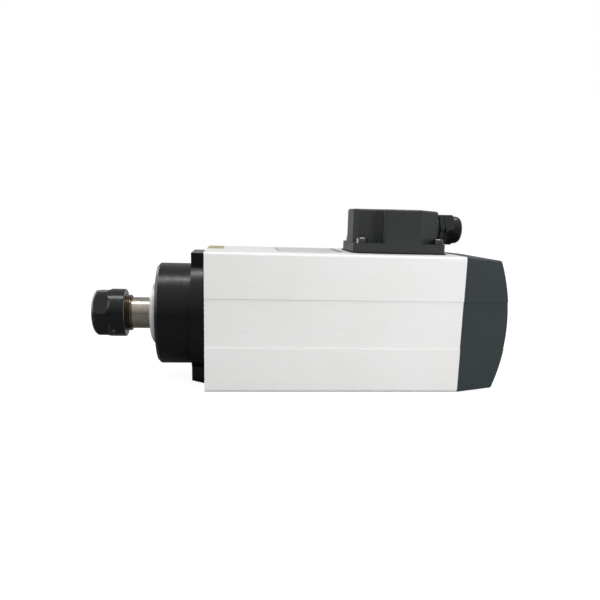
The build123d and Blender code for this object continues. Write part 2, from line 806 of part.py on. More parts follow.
def fan_circlip():
    ring = Circle(circlip_r) - Circle(fan_seat_r - circlip_groove + seat_gap)
    ring -= Pos(0, circlip_r) * Rectangle(circlip_opening, circlip_r)
    return along(clip_start, clip_start + circlip_width, ring)


# ---------------------------------------------------------------- fan cover
def cover_outline(x, inset):
    """Outside or inside of the cover at x, with the flank recess carried on."""
    run = x - body_rear
    wide = half - cover_taper_y * run - inset
    tall = half - cover_taper_z * run - inset
    outline = RectangleRounded(2 * wide, 2 * tall, cover_edge_r)
    for side in (-1, 1):
        outline -= Pos(side * wide, 0) * Rectangle(2 * band_depth, 2 * band_half)
    return cross_section(x, outline)


def cover_arc_r():
    """Radius of the rear face, which is curved about Y."""
    chord = half - cover_taper_z * cover_length
    return (chord ** 2 + cover_arc_drop ** 2) / (2 * cover_arc_drop)


def cover_form(inset, rear):
    """Tapered block closed by the curved rear face."""
    ends = [cover_outline(x, inset).face() for x in (body_rear, cover_rear + 1)]
    form = loft(ends, ruled=True)
    radius = cover_arc_r() - (cover_rear - rear)
    roll = Pos(rear - radius, 0, 0) * Rot(90, 0, 0) * Cylinder(radius, 2 * body_side)
    return form & roll


def rear_surface(z):
    radius = cover_arc_r()
    return cover_rear - radius + sqrt(radius ** 2 - z ** 2)


def fan_cover():
    solid = cover_form(0, cover_rear) - cover_form(cover_wall, cover_rear - cover_wall)
    seat = rear_surface(post_offset) - post_head_recess
    for y, z in four_places(post_offset, post_offset):
        solid += rod(post_r, bracket_rear, rear_surface(post_offset) - 1, y, z)
        solid -= rod(m4_clear_r, bracket_rear - 1, seat + 1, y, z)
        solid -= rod(m4_head_r + counterbore_gap, seat, cover_rear, y, z)
    for ring in range(grille_rings):
        inner = grille_first_r + ring * grille_pitch
        slot = Circle(inner + grille_slot) - Circle(inner)
        for spoke in range(grille_spokes // 2):
            slot -= Rot(0, 0, spoke * 360 / grille_spokes) * Rectangle(2 * body_side, spoke_width)
        solid -= along(clip_start, cover_rear + 1, slot)
    return solid


def fan_cover_screws():
    seat = rear_surface(post_offset) - post_head_recess
    length = seat - bracket_rear + bracket_plate - 1
    screw = Rot(0, 90, 0) * cap_screw(m4_core_r - seat_gap, length, m4_head_r, m4_head, m4_key)
    return group(Pos(seat, y, z) * screw for y, z in four_places(post_offset, post_offset))


# ---------------------------------------------------------------- terminal box
def flange_plan(margin):
    """Plan of the box flange, or of the wider gasket under it."""
    length = box_length + 2 * margin
    plan = Pos(box_start + box_length / 2, 0) * Rectangle(length, 2 * (box_half + margin))
    return chamfer(plan.vertices(), box_flange_corner)


def housing_plan(inset):
    """Plan of the upper housing: narrow at the left, wide in the middle, sloping in to the gland."""
    slope = inset * tan(radians(22.5))
    half_plan = [
        (box_left + inset, box_left_half - box_left_corner),
        (box_left + inset + box_left_corner - slope, box_left_half - inset),
        (box_step + inset, box_left_half - inset), (box_step + inset, box_half - inset),
        (box_shoulder - slope, box_half - inset), (box_right - inset, box_right_half - slope)]
    return make_face(Polyline(*half_plan, *[(x, -y) for x, y in reversed(half_plan)], close=True))


def box_places(height):
    """The four places of the box screws at one height."""
    return [Pos(x, side * box_screw_y, height) for x in box_screw_x for side in (-1, 1)]


def terminal_box():
    solid = Pos(0, 0, gasket_top) * extrude(flange_plan(0), amount=box_flange_height)
    housing = Pos(0, 0, gasket_top) * extrude(housing_plan(0), amount=box_top - gasket_top)
    slope = Plane.XZ * make_face(Polyline(
        (box_shoulder, box_top), (box_right + 1, box_top), (box_right + 1, box_top - box_end_drop),
        close=True))
    housing -= extrude(slope, amount=box_half + 1, both=True)
    top_edges = [edge for edge in housing.edges() if edge.center().Z > box_top - box_end_drop - 0.5]
    housing = chamfer(top_edges, box_edge_r)
    solid += housing
    solid += rod(spout_r, box_right - box_wall, spout_end, 0, gland_height)
    solid -= Pos(0, 0, gasket_top) * extrude(housing_plan(box_wall), amount=box_top - box_wall - gasket_top)
    solid -= rod(gland_thread_r + seat_gap, box_right - 2 * box_wall, spout_end, 0, gland_height)
    hole = Pos(0, 0, -box_flange_height / 2) * Cylinder(m5_clear_r, box_flange_height)
    clear = box_top - flange_top
    spot_face = Pos(0, 0, clear / 2) * Cylinder(washer_r + guard_gap, clear)
    for place in box_places(flange_top):
        solid -= place * (hole + spot_face)
    return solid


def box_gasket():
    solid = Pos(0, 0, half) * extrude(flange_plan(gasket_margin), amount=gasket_thickness)
    solid -= Pos(0, 0, half) * extrude(housing_plan(box_wall), amount=gasket_thickness)
    hole = Cylinder(m5_clear_r, gasket_thickness)
    for place in box_places(half + gasket_thickness / 2):
        solid -= place * hole
    return solid


def box_screws():
    seat = flange_top + washer_thickness
    screw = cap_screw(m5_core_r - seat_gap, seat - half + duct_wall - 0.4, m5_head_r, m5_head, m5_key)
    return group(place * screw for place in box_places(seat))


def box_washers():
    ring = extrude(Circle(washer_r) - Circle(m5_r + 0.1), amount=washer_thickness)
    return group(place * ring for place in box_places(flange_top))


# ---------------------------------------------------------------- terminal block
def stud_places():
    first_x = block_x - stud_pitch_x * (stud_rows - 1) / 2
    first_y = -stud_pitch_y * (stud_columns - 1) / 2
    return [(first_x + row * stud_pitch_x, first_y + column * stud_pitch_y)
            for row in range(stud_rows) for column in range(stud_columns)]


def terminal_block():
    x0 = block_start
    solid = block(x0, x0 + block_length, -block_width / 2, block_width / 2, half, half + block_height)
    for gap in range(stud_columns + 1):
        y = (gap - stud_columns / 2) * stud_pitch_y
        y = max(min(y, block_width / 2 - rib_thickness / 2), rib_thickness / 2 - block_width / 2)
        solid += block(x0, x0 + block_length, y - rib_thickness / 2, y + rib_thickness / 2,
                       half + block_height, half + block_height + rib_height)
    for x, y in stud_places():
        solid -= Pos(x, y, half + block_height - 2) * Cylinder(stud_r + seat_gap, 4)
    return solid


def terminal_studs():
    length = stud_height + 4
    foot = half + block_height - 4
    return group(Pos(x, y, foot + length / 2) * Cylinder(stud_r, length) for x, y in stud_places())


def terminal_nuts():
    ring = extrude(RegularPolygon(stud_nut_flats / 2, 6, major_radius=False) - Circle(stud_r + seat_gap),
                   amount=stud_nut_height)
    return group(Pos(x, y, half + block_height) * ring for x, y in stud_places())


def stator_leads():
    """Three winding leads up through the housing wall and over to the near row of studs."""
    bottom = end_turn_outer_r + guard_gap
    top = half + block_height + rib_height + lead_r + guard_gap
    end_x = block_x + stud_pitch_x / 2 + stud_r + lead_r
    leads = []
    for number in range(stud_columns):
        place = number - (stud_columns - 1) / 2
        y = place * lead_spacing
        route = FilletPolyline((lead_hole_x, y, bottom), (lead_hole_x, y, top),
                               (end_x, place * stud_pitch_y, top), radius=lead_bend_r)
        leads.append(sweep(Plane((lead_hole_x, y, bottom)) * Circle(lead_r), path=route))
    return group(leads)


def earth_screw():
    screw = cap_screw(m4_core_r - seat_gap, duct_wall - 0.5, m4_head_r, m4_head - 1.4, m4_key)
    return Pos(earth_screw_x, earth_screw_y, half) * screw


# ---------------------------------------------------------------- cable gland
gland_nut_start = spout_end + gland_hex + gland_nut_gap
gland_tip = gland_nut_start + gland_nut_hex + gland_dome


def gland_axis(shape):
    return Pos(0, 0, gland_height) * shape


def gland_body():
    inside = box_right - box_wall - gland_lock_nut - 1
    solid = turned((inside, gland_bore_r), (inside, gland_thread_r), (spout_end, gland_thread_r),
                   (spout_end, gland_sleeve_r), (gland_nut_start + gland_sleeve, gland_sleeve_r),
                   (gland_nut_start + gland_sleeve, gland_sleeve_r - 0.8),
                   (gland_nut_start, gland_sleeve_r - 0.8), (gland_nut_start, gland_bore_r))
    solid += hex_bar(gland_flats, spout_end, spout_end + gland_hex, turn=30) - rod(
        gland_sleeve_r - 1, spout_end, spout_end + gland_hex)
    return gland_axis(solid)


def gland_lock_nut_piece():
    start = box_right - box_wall - gland_lock_nut
    ring = hex_bar(gland_flats, start, start + gland_lock_nut)
    return gland_axis(ring - rod(gland_thread_r + seat_gap, start, start + gland_lock_nut))


def gland_seal():
    outer = gland_sleeve_r - 1.0
    start = gland_nut_start + 0.1
    end = start + seal_length
    return gland_axis(turned((start, seal_bore_r), (start, outer), (end - 4, outer),
                             (end, gland_mouth_r + 0.3), (end, seal_bore_r)))


def gland_dome_nut():
    hex_end = gland_nut_start + gland_nut_hex
    bore = gland_sleeve_r + guard_gap
    shell_end = gland_tip - 2.5
    hood = Polyline((gland_nut_start, bore), (shell_end - 3, bore), (shell_end, gland_mouth_r + 0.8),
                    (gland_tip, gland_mouth_r), (gland_tip, gland_tip_r))
    round_over = ThreePointArc((gland_tip, gland_tip_r), (gland_tip - 1.6, gland_dome_r - 1.2),
                               (gland_tip - 5.5, gland_dome_r))
    back = Polyline((gland_tip - 5.5, gland_dome_r), (gland_nut_start, gland_dome_r), (gland_nut_start, bore))
    solid = revolve(make_face(hood + round_over + back), axis=Axis.X)
    inner = gland_flats / 2 + 0.6
    outer = gland_flats / 2 + 2
    collar = hex_bar(gland_flats, gland_nut_start, hex_end, turn=30) & turned(
        (gland_nut_start, 0), (gland_nut_start, inner), (gland_nut_start + 1, outer),
        (hex_end - 1, outer), (hex_end, inner), (hex_end, 0))
    solid += collar - rod(bore, gland_nut_start, hex_end)
    return gland_axis(solid)


# ---------------------------------------------------------------- name plate
def name_plate():
    return block(plate_x, plate_x + plate_length, plate_centre_y - plate_width / 2,
                 plate_centre_y + plate_width / 2, half, half + plate_height)


# ---------------------------------------------------------------- all pieces
front_pair = (front_race_start, front_width, front_bore_d, front_outer_d)
rear_pair = (rear_race_start, rear_width, rear_bore_d, rear_outer_d)

save(body_extrusion(), "body_extrusion")
save(front_flange(), "front_flange")
save(flange_screws(), "flange_screws")
save(front_bearing_cap(), "front_bearing_cap")
save(outer_rings(*front_pair), "front_bearing_outer_rings")
save(stator_core(), "stator_core")
save(stator_windings(), "stator_windings")
save(stator_leads(), "stator_leads")
save(rear_bracket(), "rear_bearing_bracket")
save(bracket_screws(), "bracket_screws")
save(outer_rings(*rear_pair), "rear_bearing_outer_rings")
save(preload_spring(), "preload_spring")
save(fan_cover(), "fan_cover")
save(fan_cover_screws(), "fan_cover_screws")
save(box_gasket(), "box_gasket")
save(terminal_box(), "terminal_box")
save(box_screws(), "box_screws")
save(box_washers(), "box_washers")
save(terminal_block(), "terminal_block")
save(terminal_studs(), "terminal_studs")
save(terminal_nuts(), "terminal_nuts")
save(earth_screw(), "earth_screw")
save(gland_body(), "gland_body")
save(gland_lock_nut_piece(), "gland_lock_nut")
save(gland_seal(), "gland_seal")
save(gland_dome_nut(), "gland_dome_nut")
save(name_plate(), "name_plate")
save(shaft(), "shaft")
save(inner_rings(*front_pair), "front_bearing_inner_rings")
save(inner_rings(*rear_pair), "rear_bearing_inner_rings")
save(lock_nut(front_race_end, front_nut_length, front_bore_d / 2 + seat_gap, front_nut_r), "front_lock_nut")
save(lock_nut(rear_race_end, rear_nut_length, rear_thread_r + seat_gap, rear_nut_r), "rear_lock_nut")
save(rotor_core(), "rotor_core")
save(rotor_cage(), "rotor_cage")
save(fan_impeller(), "fan_impeller")
save(fan_circlip(), "fan_circlip")
save(ball_cages(*front_pair), "front_ball_cages")
save(ball_cages(*rear_pair), "rear_ball_cages")
save(collet(), "collet")
save(collet_nut(), "collet_nut")
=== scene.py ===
from math import cos, pi, radians, sin

import bpy
import bmesh
from mathutils import Matrix, Vector


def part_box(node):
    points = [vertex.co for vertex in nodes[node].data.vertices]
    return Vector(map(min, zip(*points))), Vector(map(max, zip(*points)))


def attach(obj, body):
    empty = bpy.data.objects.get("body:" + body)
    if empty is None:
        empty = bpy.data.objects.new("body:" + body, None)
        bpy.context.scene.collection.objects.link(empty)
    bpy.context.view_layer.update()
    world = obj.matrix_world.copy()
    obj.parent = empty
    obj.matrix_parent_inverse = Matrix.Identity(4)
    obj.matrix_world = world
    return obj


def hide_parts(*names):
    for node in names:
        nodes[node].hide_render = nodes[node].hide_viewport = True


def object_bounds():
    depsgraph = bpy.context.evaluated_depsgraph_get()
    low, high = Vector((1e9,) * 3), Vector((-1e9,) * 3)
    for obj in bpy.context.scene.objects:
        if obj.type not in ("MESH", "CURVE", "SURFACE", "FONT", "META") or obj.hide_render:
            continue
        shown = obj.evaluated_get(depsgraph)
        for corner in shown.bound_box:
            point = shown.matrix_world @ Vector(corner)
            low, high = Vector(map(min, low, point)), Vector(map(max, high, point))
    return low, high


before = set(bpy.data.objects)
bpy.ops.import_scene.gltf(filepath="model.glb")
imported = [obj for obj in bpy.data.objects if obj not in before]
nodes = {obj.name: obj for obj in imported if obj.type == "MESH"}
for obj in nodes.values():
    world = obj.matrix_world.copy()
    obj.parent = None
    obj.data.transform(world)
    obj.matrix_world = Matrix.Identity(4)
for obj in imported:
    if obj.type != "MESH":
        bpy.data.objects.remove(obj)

scene = bpy.context.scene
cad_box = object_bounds()
MM = 0.001

# ---------------------------------------------------------------- camera
# A long view from a little above and ahead of the spindle's flank, turned slightly towards the fan.
# The frame is square and the object sits above its middle, so the lens is shifted, not tilted.
camera_place = Vector((36.81, -596.92, 87.41)) * MM
camera_yaw = 0.1015
camera_pitch = 0.2245
camera_roll = -0.0266
film_width = 36
frame_side = 600            # side of the square frame that the next two are measured against
focal_share = 661.09 / frame_side
level_shift = 67.36 / frame_side

forward = Vector((sin(camera_yaw) * cos(camera_pitch),
                  cos(camera_yaw) * cos(camera_pitch), -sin(camera_pitch)))
flat_right = Vector((cos(camera_yaw), -sin(camera_yaw), 0))
flat_down = forward.cross(flat_right)
right = flat_right * cos(camera_roll) + flat_down * sin(camera_roll)
down = flat_down * cos(camera_roll) - flat_right * sin(camera_roll)

lens = bpy.data.cameras.new("camera")
lens.sensor_fit = "HORIZONTAL"
lens.sensor_width = film_width
lens.lens = film_width * focal_share
lens.shift_y = level_shift
camera = bpy.data.objects.new("camera", lens)
camera.matrix_world = Matrix((right, -down, -forward)).transposed().to_4x4()
camera.location = camera_place
scene.collection.objects.link(camera)
scene.camera = camera
scene.view_settings.view_transform = "Standard"

# ---------------------------------------------------------------- table
# A wide matt table, a hair below the spindle.  It is mid grey in the light it gives back and in
# reflections, and close to white to the camera, which still sees the spindle's shadow on it.
table_drop = 0.4 * MM
table_half = 3.0
table_tone = 0.24
table_roughness = 0.9
table_gloss = 0.1
table_white = 0.90

table_z = cad_box[0][2] - table_drop
table_mesh = bpy.data.meshes.new("table")
table_mesh.from_pydata([(x * table_half, y * table_half, table_z)
                        for x, y in ((-1, -1), (1, -1), (1, 1), (-1, 1))], [], [(0, 1, 2, 3)])
table = bpy.data.objects.new("table", table_mesh)
scene.collection.objects.link(table)

table_cover = bpy.data.materials.new("table_cover")
table_cover.use_nodes = True
cover_tree = table_cover.node_tree
grey = cover_tree.nodes["Principled BSDF"]
grey.inputs["Base Color"].default_value = (table_tone, table_tone, table_tone, 1)
grey.inputs["Roughness"].default_value = table_roughness
grey.inputs["Specular IOR Level"].default_value = table_gloss
glow = cover_tree.nodes.new("ShaderNodeEmission")
glow.inputs["Strength"].default_value = table_white
lit = cover_tree.nodes.new("ShaderNodeAddShader")
cover_pick = cover_tree.nodes.new("ShaderNodeMixShader")
cover_rays = cover_tree.nodes.new("ShaderNodeLightPath")
for start, end in ((glow.outputs[0], lit.inputs[0]),
                   (grey.outputs[0], lit.inputs[1]),
                   (cover_rays.outputs["Is Camera Ray"], cover_pick.inputs[0]),
                   (grey.outputs[0], cover_pick.inputs[1]),
                   (lit.outputs[0], cover_pick.inputs[2]),
                   (cover_pick.outputs[0],
                    cover_tree.nodes["Material Output"].inputs["Surface"])):
    cover_tree.links.new(start, end)
table_mesh.materials.append(table_cover)

# ---------------------------------------------------------------- room
# An open room that bright pieces reflect: dark low down, grey at the sides and white overhead, with
# a paler wall behind.  The camera itself sees plain white where the table ends.
room_low = (0.06, 0.06, 0.06 * 1.02, 1)
room_side = (0.16, 0.16, 0.16 * 1.02, 1)
room_top = (1, 1, 1, 1)
room_back = (0.50, 0.50, 0.50 * 1.03, 1)
back_start, back_full = -0.4, 0.3   # how far round to the back the pale wall starts and is full

room = bpy.data.worlds.new("room")
scene.world = room
room.use_nodes = True
room_tree = room.node_tree
way = room_tree.nodes.new("ShaderNodeTexCoord")
way_parts = room_tree.nodes.new("ShaderNodeSeparateXYZ")
rise = room_tree.nodes.new("ShaderNodeMapRange")
rise.inputs["From Min"].default_value = -1
tone = room_tree.nodes.new("ShaderNodeValToRGB")
stops = tone.color_ramp.elements
stops.new(0.5)
for stop, colour in zip(stops, (room_low, room_side, room_top)):
    stop.color = colour
backward = room_tree.nodes.new("ShaderNodeMapRange")
backward.interpolation_type = "SMOOTHSTEP"
backward.inputs["From Min"].default_value = back_start
backward.inputs["From Max"].default_value = back_full
back_wall = room_tree.nodes.new("ShaderNodeMix")
back_wall.data_type = "RGBA"
back_wall.inputs["B"].default_value = room_back
room_rays = room_tree.nodes.new("ShaderNodeLightPath")
room_pick = room_tree.nodes.new("ShaderNodeMix")
room_pick.data_type = "RGBA"
room_pick.inputs["B"].default_value = (1, 1, 1, 1)
for start, end in ((way.outputs["Generated"], way_parts.inputs[0]),
                   (way_parts.outputs["Z"], rise.inputs["Value"]),
                   (rise.outputs[0], tone.inputs[0]),
                   (room_rays.outputs["Is Camera Ray"], room_pick.inputs["Factor"]),
                   (way_parts.outputs["Y"], backward.inputs["Value"]),
                   (backward.outputs[0], back_wall.inputs["Factor"]),
                   (tone.outputs[0], back_wall.inputs["A"]),
                   (back_wall.outputs["Result"], room_pick.inputs["A"]),
                   (room_pick.outputs["Result"], room_tree.nodes["Background"].inputs["Color"])):
    room_tree.links.new(start, end)

# ---------------------------------------------------------------- lamps
# A narrow strip overhead and a wide panel at the nose are the only lamps that show as highlights.
# The rest are soft fills in front, at both ends and behind, which light matt surfaces alone.
middle = Vector((0.10, 0, 0))
overhead = (0.08, 0.05, 0.95)
strip = (1.2, 0.12)
white, cool, cooler = (1.0, 1.0, 1.0), (0.95, 0.98, 1.0), (0.92, 0.97, 1.0)


def lamp(name, place, size, watts, colour=white, glossy=False, matt=True):
    """Rectangular lamp in metres, pointed at the spindle, for glossy surfaces, matt or both."""
    light = bpy.data.lights.new(name, "AREA")
    light.shape = "RECTANGLE"
    light.size, light.size_y = size
    light.energy = watts
    light.color = colour
    holder = bpy.data.objects.new(name, light)
    holder.location = place
    holder.rotation_euler = (middle - Vector(place)).to_track_quat("-Z", "Y").to_euler()
    holder.visible_glossy = glossy
    holder.visible_diffuse = matt
    holder.visible_camera = False
    scene.collection.objects.link(holder)


lamp("overhead_lamp", overhead, strip, 5.6, glossy=True, matt=False)
lamp("overhead_fill", overhead, strip, 3.4)
lamp("front_fill", (0.55, -1.6, 0.10), (1.6, 1.0), 9.6)
lamp("fan_side_fill", (0.45, -0.80, 0.20), (0.5, 0.5), 3.1, cool)
lamp("nose_side_fill", (-1.1, -0.25, 0.15), (0.6, 0.6), 0.9)
lamp("nose_lamp", (-1.1, 0.8, 0.15), (1.4, 0.9), 8.5, glossy=True)
lamp("back_fill", (0.1, 1.6, 0.4), (1.6, 1.0), 1.5)
lamp("fan_end_fill", (1.5, -0.12, 0.30), (0.9, 0.9), 11, cooler)


# ---------------------------------------------------------------- housing extrusion
# Square tube of drawn aluminium, satin anodised.  The die leaves faint lines along its length,
# and handling leaves soft smudges.
def shade(red, green, blue):
    """Colour as the shader wants it, from the 0-255 figures of a colour chart."""
    parts = [step / 255 for step in (red, green, blue)]
    linear = [part / 12.92 if part <= 0.04 else ((part + 0.055) / 1.055) ** 2.4 for part in parts]
    return (*linear, 1.0)


class Finish:
    """A surface finish under way: the shader of one material and the patterns that feed it."""

    def __init__(self, name, colour, roughness, metallic=0.0, gloss=0.5):
        self.material = bpy.data.materials.new(name)
        self.material.use_nodes = True
        self.tree = self.material.node_tree
        self.shader = self.tree.nodes["Principled BSDF"]
        self.shader.inputs["Base Color"].default_value = shade(*colour)
        self.shader.inputs["Roughness"].default_value = roughness
        self.shader.inputs["Metallic"].default_value = metallic
        self.shader.inputs["Specular IOR Level"].default_value = gloss
        self.coordinates = self.tree.nodes.new("ShaderNodeTexCoord").outputs["Object"]

    def link(self, start, end):
        self.tree.links.new(start, end)

    def stretched(self, x, y, z):
        """Places on the piece in millimetres, squeezed along each axis."""
        mapping = self.tree.nodes.new("ShaderNodeMapping")
        mapping.inputs["Scale"].default_value = (x / MM, y / MM, z / MM)
        self.link(self.coordinates, mapping.inputs["Vector"])
        return mapping.outputs[0]

    def grain(self, per_mm, detail=3, stretch=(1, 1, 1)):
        """Soft random pattern with this many cycles for each millimetre."""
        noise = self.tree.nodes.new("ShaderNodeTexNoise")
        noise.inputs["Scale"].default_value = per_mm
        noise.inputs["Detail"].default_value = detail
        noise.inputs["Roughness"].default_value = 0.55   # weight of its finer steps
        self.link(self.stretched(*stretch), noise.inputs["Vector"])
        return noise.outputs["Fac"]

    def lines(self, measure, per_mm, detail=3):
        """Random lines across one measure of the piece, as a tool leaves them."""
        noise = self.tree.nodes.new("ShaderNodeTexNoise")
        noise.noise_dimensions = "1D"
        noise.inputs["Scale"].default_value = per_mm
        noise.inputs["Detail"].default_value = detail
        self.link(measure, noise.inputs["W"])
        return noise.outputs["Fac"]

    def math(self, kind, *values):
        step = self.tree.nodes.new("ShaderNodeMath")
        step.operation = kind
        for socket, value in zip(step.inputs, values):
            if isinstance(value, (int, float)):
                socket.default_value = value
            else:
                self.link(value, socket)
        return step.outputs[0]

    def axis(self, letter):
        """One coordinate of the piece, in millimetres."""
        split = self.tree.nodes.new("ShaderNodeSeparateXYZ")
        self.link(self.stretched(1, 1, 1), split.inputs[0])
        return split.outputs[letter]

    def away(self, first, second):
        """Distance from the line on which two measures are nought."""
        squares = [self.math("POWER", measure, 2.0) for measure in (first, second)]
        return self.math("SQRT", self.math("ADD", *squares))

    def between(self, value, low, high):
        """One where a value lies between two others, and nought elsewhere."""
        return self.math("MULTIPLY", self.math("GREATER_THAN", value, low),
                         self.math("LESS_THAN", value, high))

    def spread(self, value, low, high, start=0.0, end=1.0):
        """Map a pattern running from start to end onto low to high."""
        ramp = self.tree.nodes.new("ShaderNodeMapRange")
        for name, number in (("From Min", start), ("From Max", end),
                             ("To Min", low), ("To Max", high)):
            ramp.inputs[name].default_value = number
        self.link(value, ramp.inputs["Value"])
        return ramp.outputs[0]

    def blend(self, factor, first, second):
        """Colour between two colours, each a chart colour or an earlier pattern."""
        mix = self.tree.nodes.new("ShaderNodeMix")
        mix.data_type = "RGBA"
        self.link(factor, mix.inputs["Factor"])
        for socket, value in ((mix.inputs["A"], first), (mix.inputs["B"], second)):
            if isinstance(value, tuple):
                socket.default_value = shade(*value)
            else:
                self.link(value, socket)
        return mix.outputs["Result"]

    def mottled(self, pattern, first, second, start=0.3, end=0.7, most=1):
        """Colour between two others, by a pattern; most is the largest share of the second."""
        return self.blend(self.spread(pattern, 0, most, start, end), first, second)

    def rounded(self, radius_mm):
        """Direction of the surface, as if its edges were rounded to a small radius."""
        bevel = self.tree.nodes.new("ShaderNodeBevel")
        bevel.samples = 4
        bevel.inputs["Radius"].default_value = radius_mm * MM
        return bevel.outputs[0]

    def edged(self, faces, rim, width_mm, most):
        """Colour that turns part of the way to another along the piece's edges."""
        on_edge, on_face = 0.75, 0.97   # how far the true and the rounded direction agree there
        true = self.tree.nodes.new("ShaderNodeNewGeometry").outputs["Normal"]
        agreement = self.tree.nodes.new("ShaderNodeVectorMath")
        agreement.operation = "DOT_PRODUCT"
        self.link(self.rounded(width_mm), agreement.inputs[0])
        self.link(true, agreement.inputs[1])
        edge = self.spread(agreement.outputs["Value"], 1.0, 0.0, on_edge, on_face)
        return self.blend(self.spread(edge, 0, most), faces, rim)

    def colour(self, source):
        self.link(source, self.shader.inputs["Base Color"])

    def metal(self, source):
        self.link(source, self.shader.inputs["Metallic"])

    def roughness(self, pattern, low, high, start=0.3, end=0.7):
        """Roughness that goes from low to high as the pattern goes from start to end."""
        self.link(self.spread(pattern, low, high, start, end), self.shader.inputs["Roughness"])

    def bump(self, height, depth_mm, soften_mm=0.0):
        """Raise the surface by a pattern, with edges softened by a small radius."""
        bump = self.tree.nodes.new("ShaderNodeBump")
        bump.inputs["Strength"].default_value = 1.0
        bump.inputs["Distance"].default_value = depth_mm * MM
        self.link(height, bump.inputs["Height"])
        if soften_mm:
            self.link(self.rounded(soften_mm), bump.inputs["Normal"])
        self.link(bump.outputs[0], self.shader.inputs["Normal"])

    def onto(self, *pieces):
        """Put the finish on CAD pieces, by name, or on pieces made here."""
        for piece in pieces:
            if isinstance(piece, str):
                for slot in nodes[piece].material_slots:
                    slot.material = self.material
            else:
                piece.data.materials.append(self.material)


silver, bright_silver, smudged = (229, 228, 225), (234, 233, 231), (223, 221, 216)
anodised = Finish("satin_anodised", (226, 226, 226), roughness=0.50, metallic=0.08)
die_lines = anodised.grain(per_mm=1.6, detail=4, stretch=(0.012, 1, 1))
smudges = anodised.grain(per_mm=0.018)
drawn = anodised.mottled(die_lines, silver, bright_silver)
anodised.colour(anodised.mottled(smudges, drawn, smudged, start=0.45, end=0.75, most=0.35))
anodised.roughness(die_lines, 0.46, 0.54)
anodised.bump(die_lines, depth_mm=0.0015, soften_mm=0.25)
anodised.onto("body_extrusion")

# ---------------------------------------------------------------- front flange
# Aluminium casting turned on its boss and face, then painted satin black.  The paint shows a fine
# orange peel in its highlight and is thin at the sharp edges.
paint_black, paint_worn = (5, 5, 5), (56, 55, 56)
black_paint = Finish("satin_black_paint", (21, 21, 22), roughness=0.22, gloss=0.32)
orange_peel = black_paint.grain(per_mm=0.55)
black_paint.colour(black_paint.edged(paint_black, paint_worn, width_mm=0.35, most=0.35))
black_paint.roughness(black_paint.grain(per_mm=0.25, detail=2), 0.22, 0.32)
black_paint.bump(orange_peel, depth_mm=0.028, soften_mm=0.3)
black_paint.onto("front_flange")

# ---------------------------------------------------------------- cap screws
# Steel cap screws, blackened, that hold the front flange, the rear bracket and the fan cover.
# The black is rubbed thin at the edges of their heads and sockets.
oxide_black, oxide_worn = (24, 24, 25), (96, 95, 94)
black_oxide = Finish("black_oxide_screws", (26, 26, 27), roughness=0.38, metallic=0.3)
black_oxide.colour(black_oxide.edged(oxide_black, oxide_worn, width_mm=0.2, most=0.5))
black_oxide.bump(black_oxide.grain(per_mm=2.0), depth_mm=0.01, soften_mm=0.15)
black_oxide.onto("flange_screws", "bracket_screws", "fan_cover_screws")

# ---------------------------------------------------------------- front bearing cap
# Cap ring that closes the front bearings in the flange, turned from bare aluminium bar.
# The tool leaves fine rings round its face.
turned_grey, turned_bright = (232, 232, 231), (246, 246, 246)
turned = Finish("turned_aluminium", (228, 228, 228), roughness=0.30, metallic=0.1)
rings = turned.lines(turned.away(turned.axis("Y"), turned.axis("Z")), per_mm=7.0)
turned.colour(turned.mottled(rings, turned_grey, turned_bright))
turned.roughness(rings, 0.30, 0.46)
turned.bump(rings, depth_mm=0.02, soften_mm=0.2)
turned.onto("front_bearing_cap")

# ---------------------------------------------------------------- shaft
# Hardened steel, ground on its neck and journals, so the wheel's fine lines run round it.  A thin
# film of oil leaves it slightly brown, and more of it lies in the threads behind the nut.
nut_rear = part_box("collet_nut")[1][0] / MM
thread_end = nut_rear + 6.0
ground_grey, ground_bright = (160, 153, 143), (190, 184, 177)
oil_film, oiled_thread = (150, 138, 120), (118, 107, 90)
ground = Finish("ground_steel", (176, 170, 162), roughness=0.24, metallic=1.0)
wheel_lines = ground.lines(ground.axis("X"), per_mm=9.0, detail=4)
oil = ground.grain(per_mm=0.12)
neck = ground.mottled(wheel_lines, ground_grey, ground_bright)
neck = ground.mottled(oil, neck, oil_film, start=0.4, most=0.5)
on_thread = ground.math("LESS_THAN", ground.axis("X"), thread_end)
ground.colour(ground.blend(on_thread, neck, oiled_thread))
ground.roughness(wheel_lines, 0.16, 0.27)
ground.bump(wheel_lines, depth_mm=0.012)
ground.onto("shaft")

# ---------------------------------------------------------------- collet
# Slotted collet of spring steel, ground on both tapers and left bright with a trace of oil.
# The grinding lines run round it.
collet_bright, collet_oiled = (176, 176, 175), (150, 147, 140)
collet_steel = Finish("collet_steel", (168, 168, 166), roughness=0.22, metallic=1.0)
collet_steel.colour(collet_steel.mottled(collet_steel.grain(per_mm=0.5),
                                         collet_bright, collet_oiled, start=0.35))
collet_steel.bump(collet_steel.grain(per_mm=3.0, stretch=(1, 0.2, 0.2)),
                  depth_mm=0.006, soften_mm=0.12)
collet_steel.onto("collet")

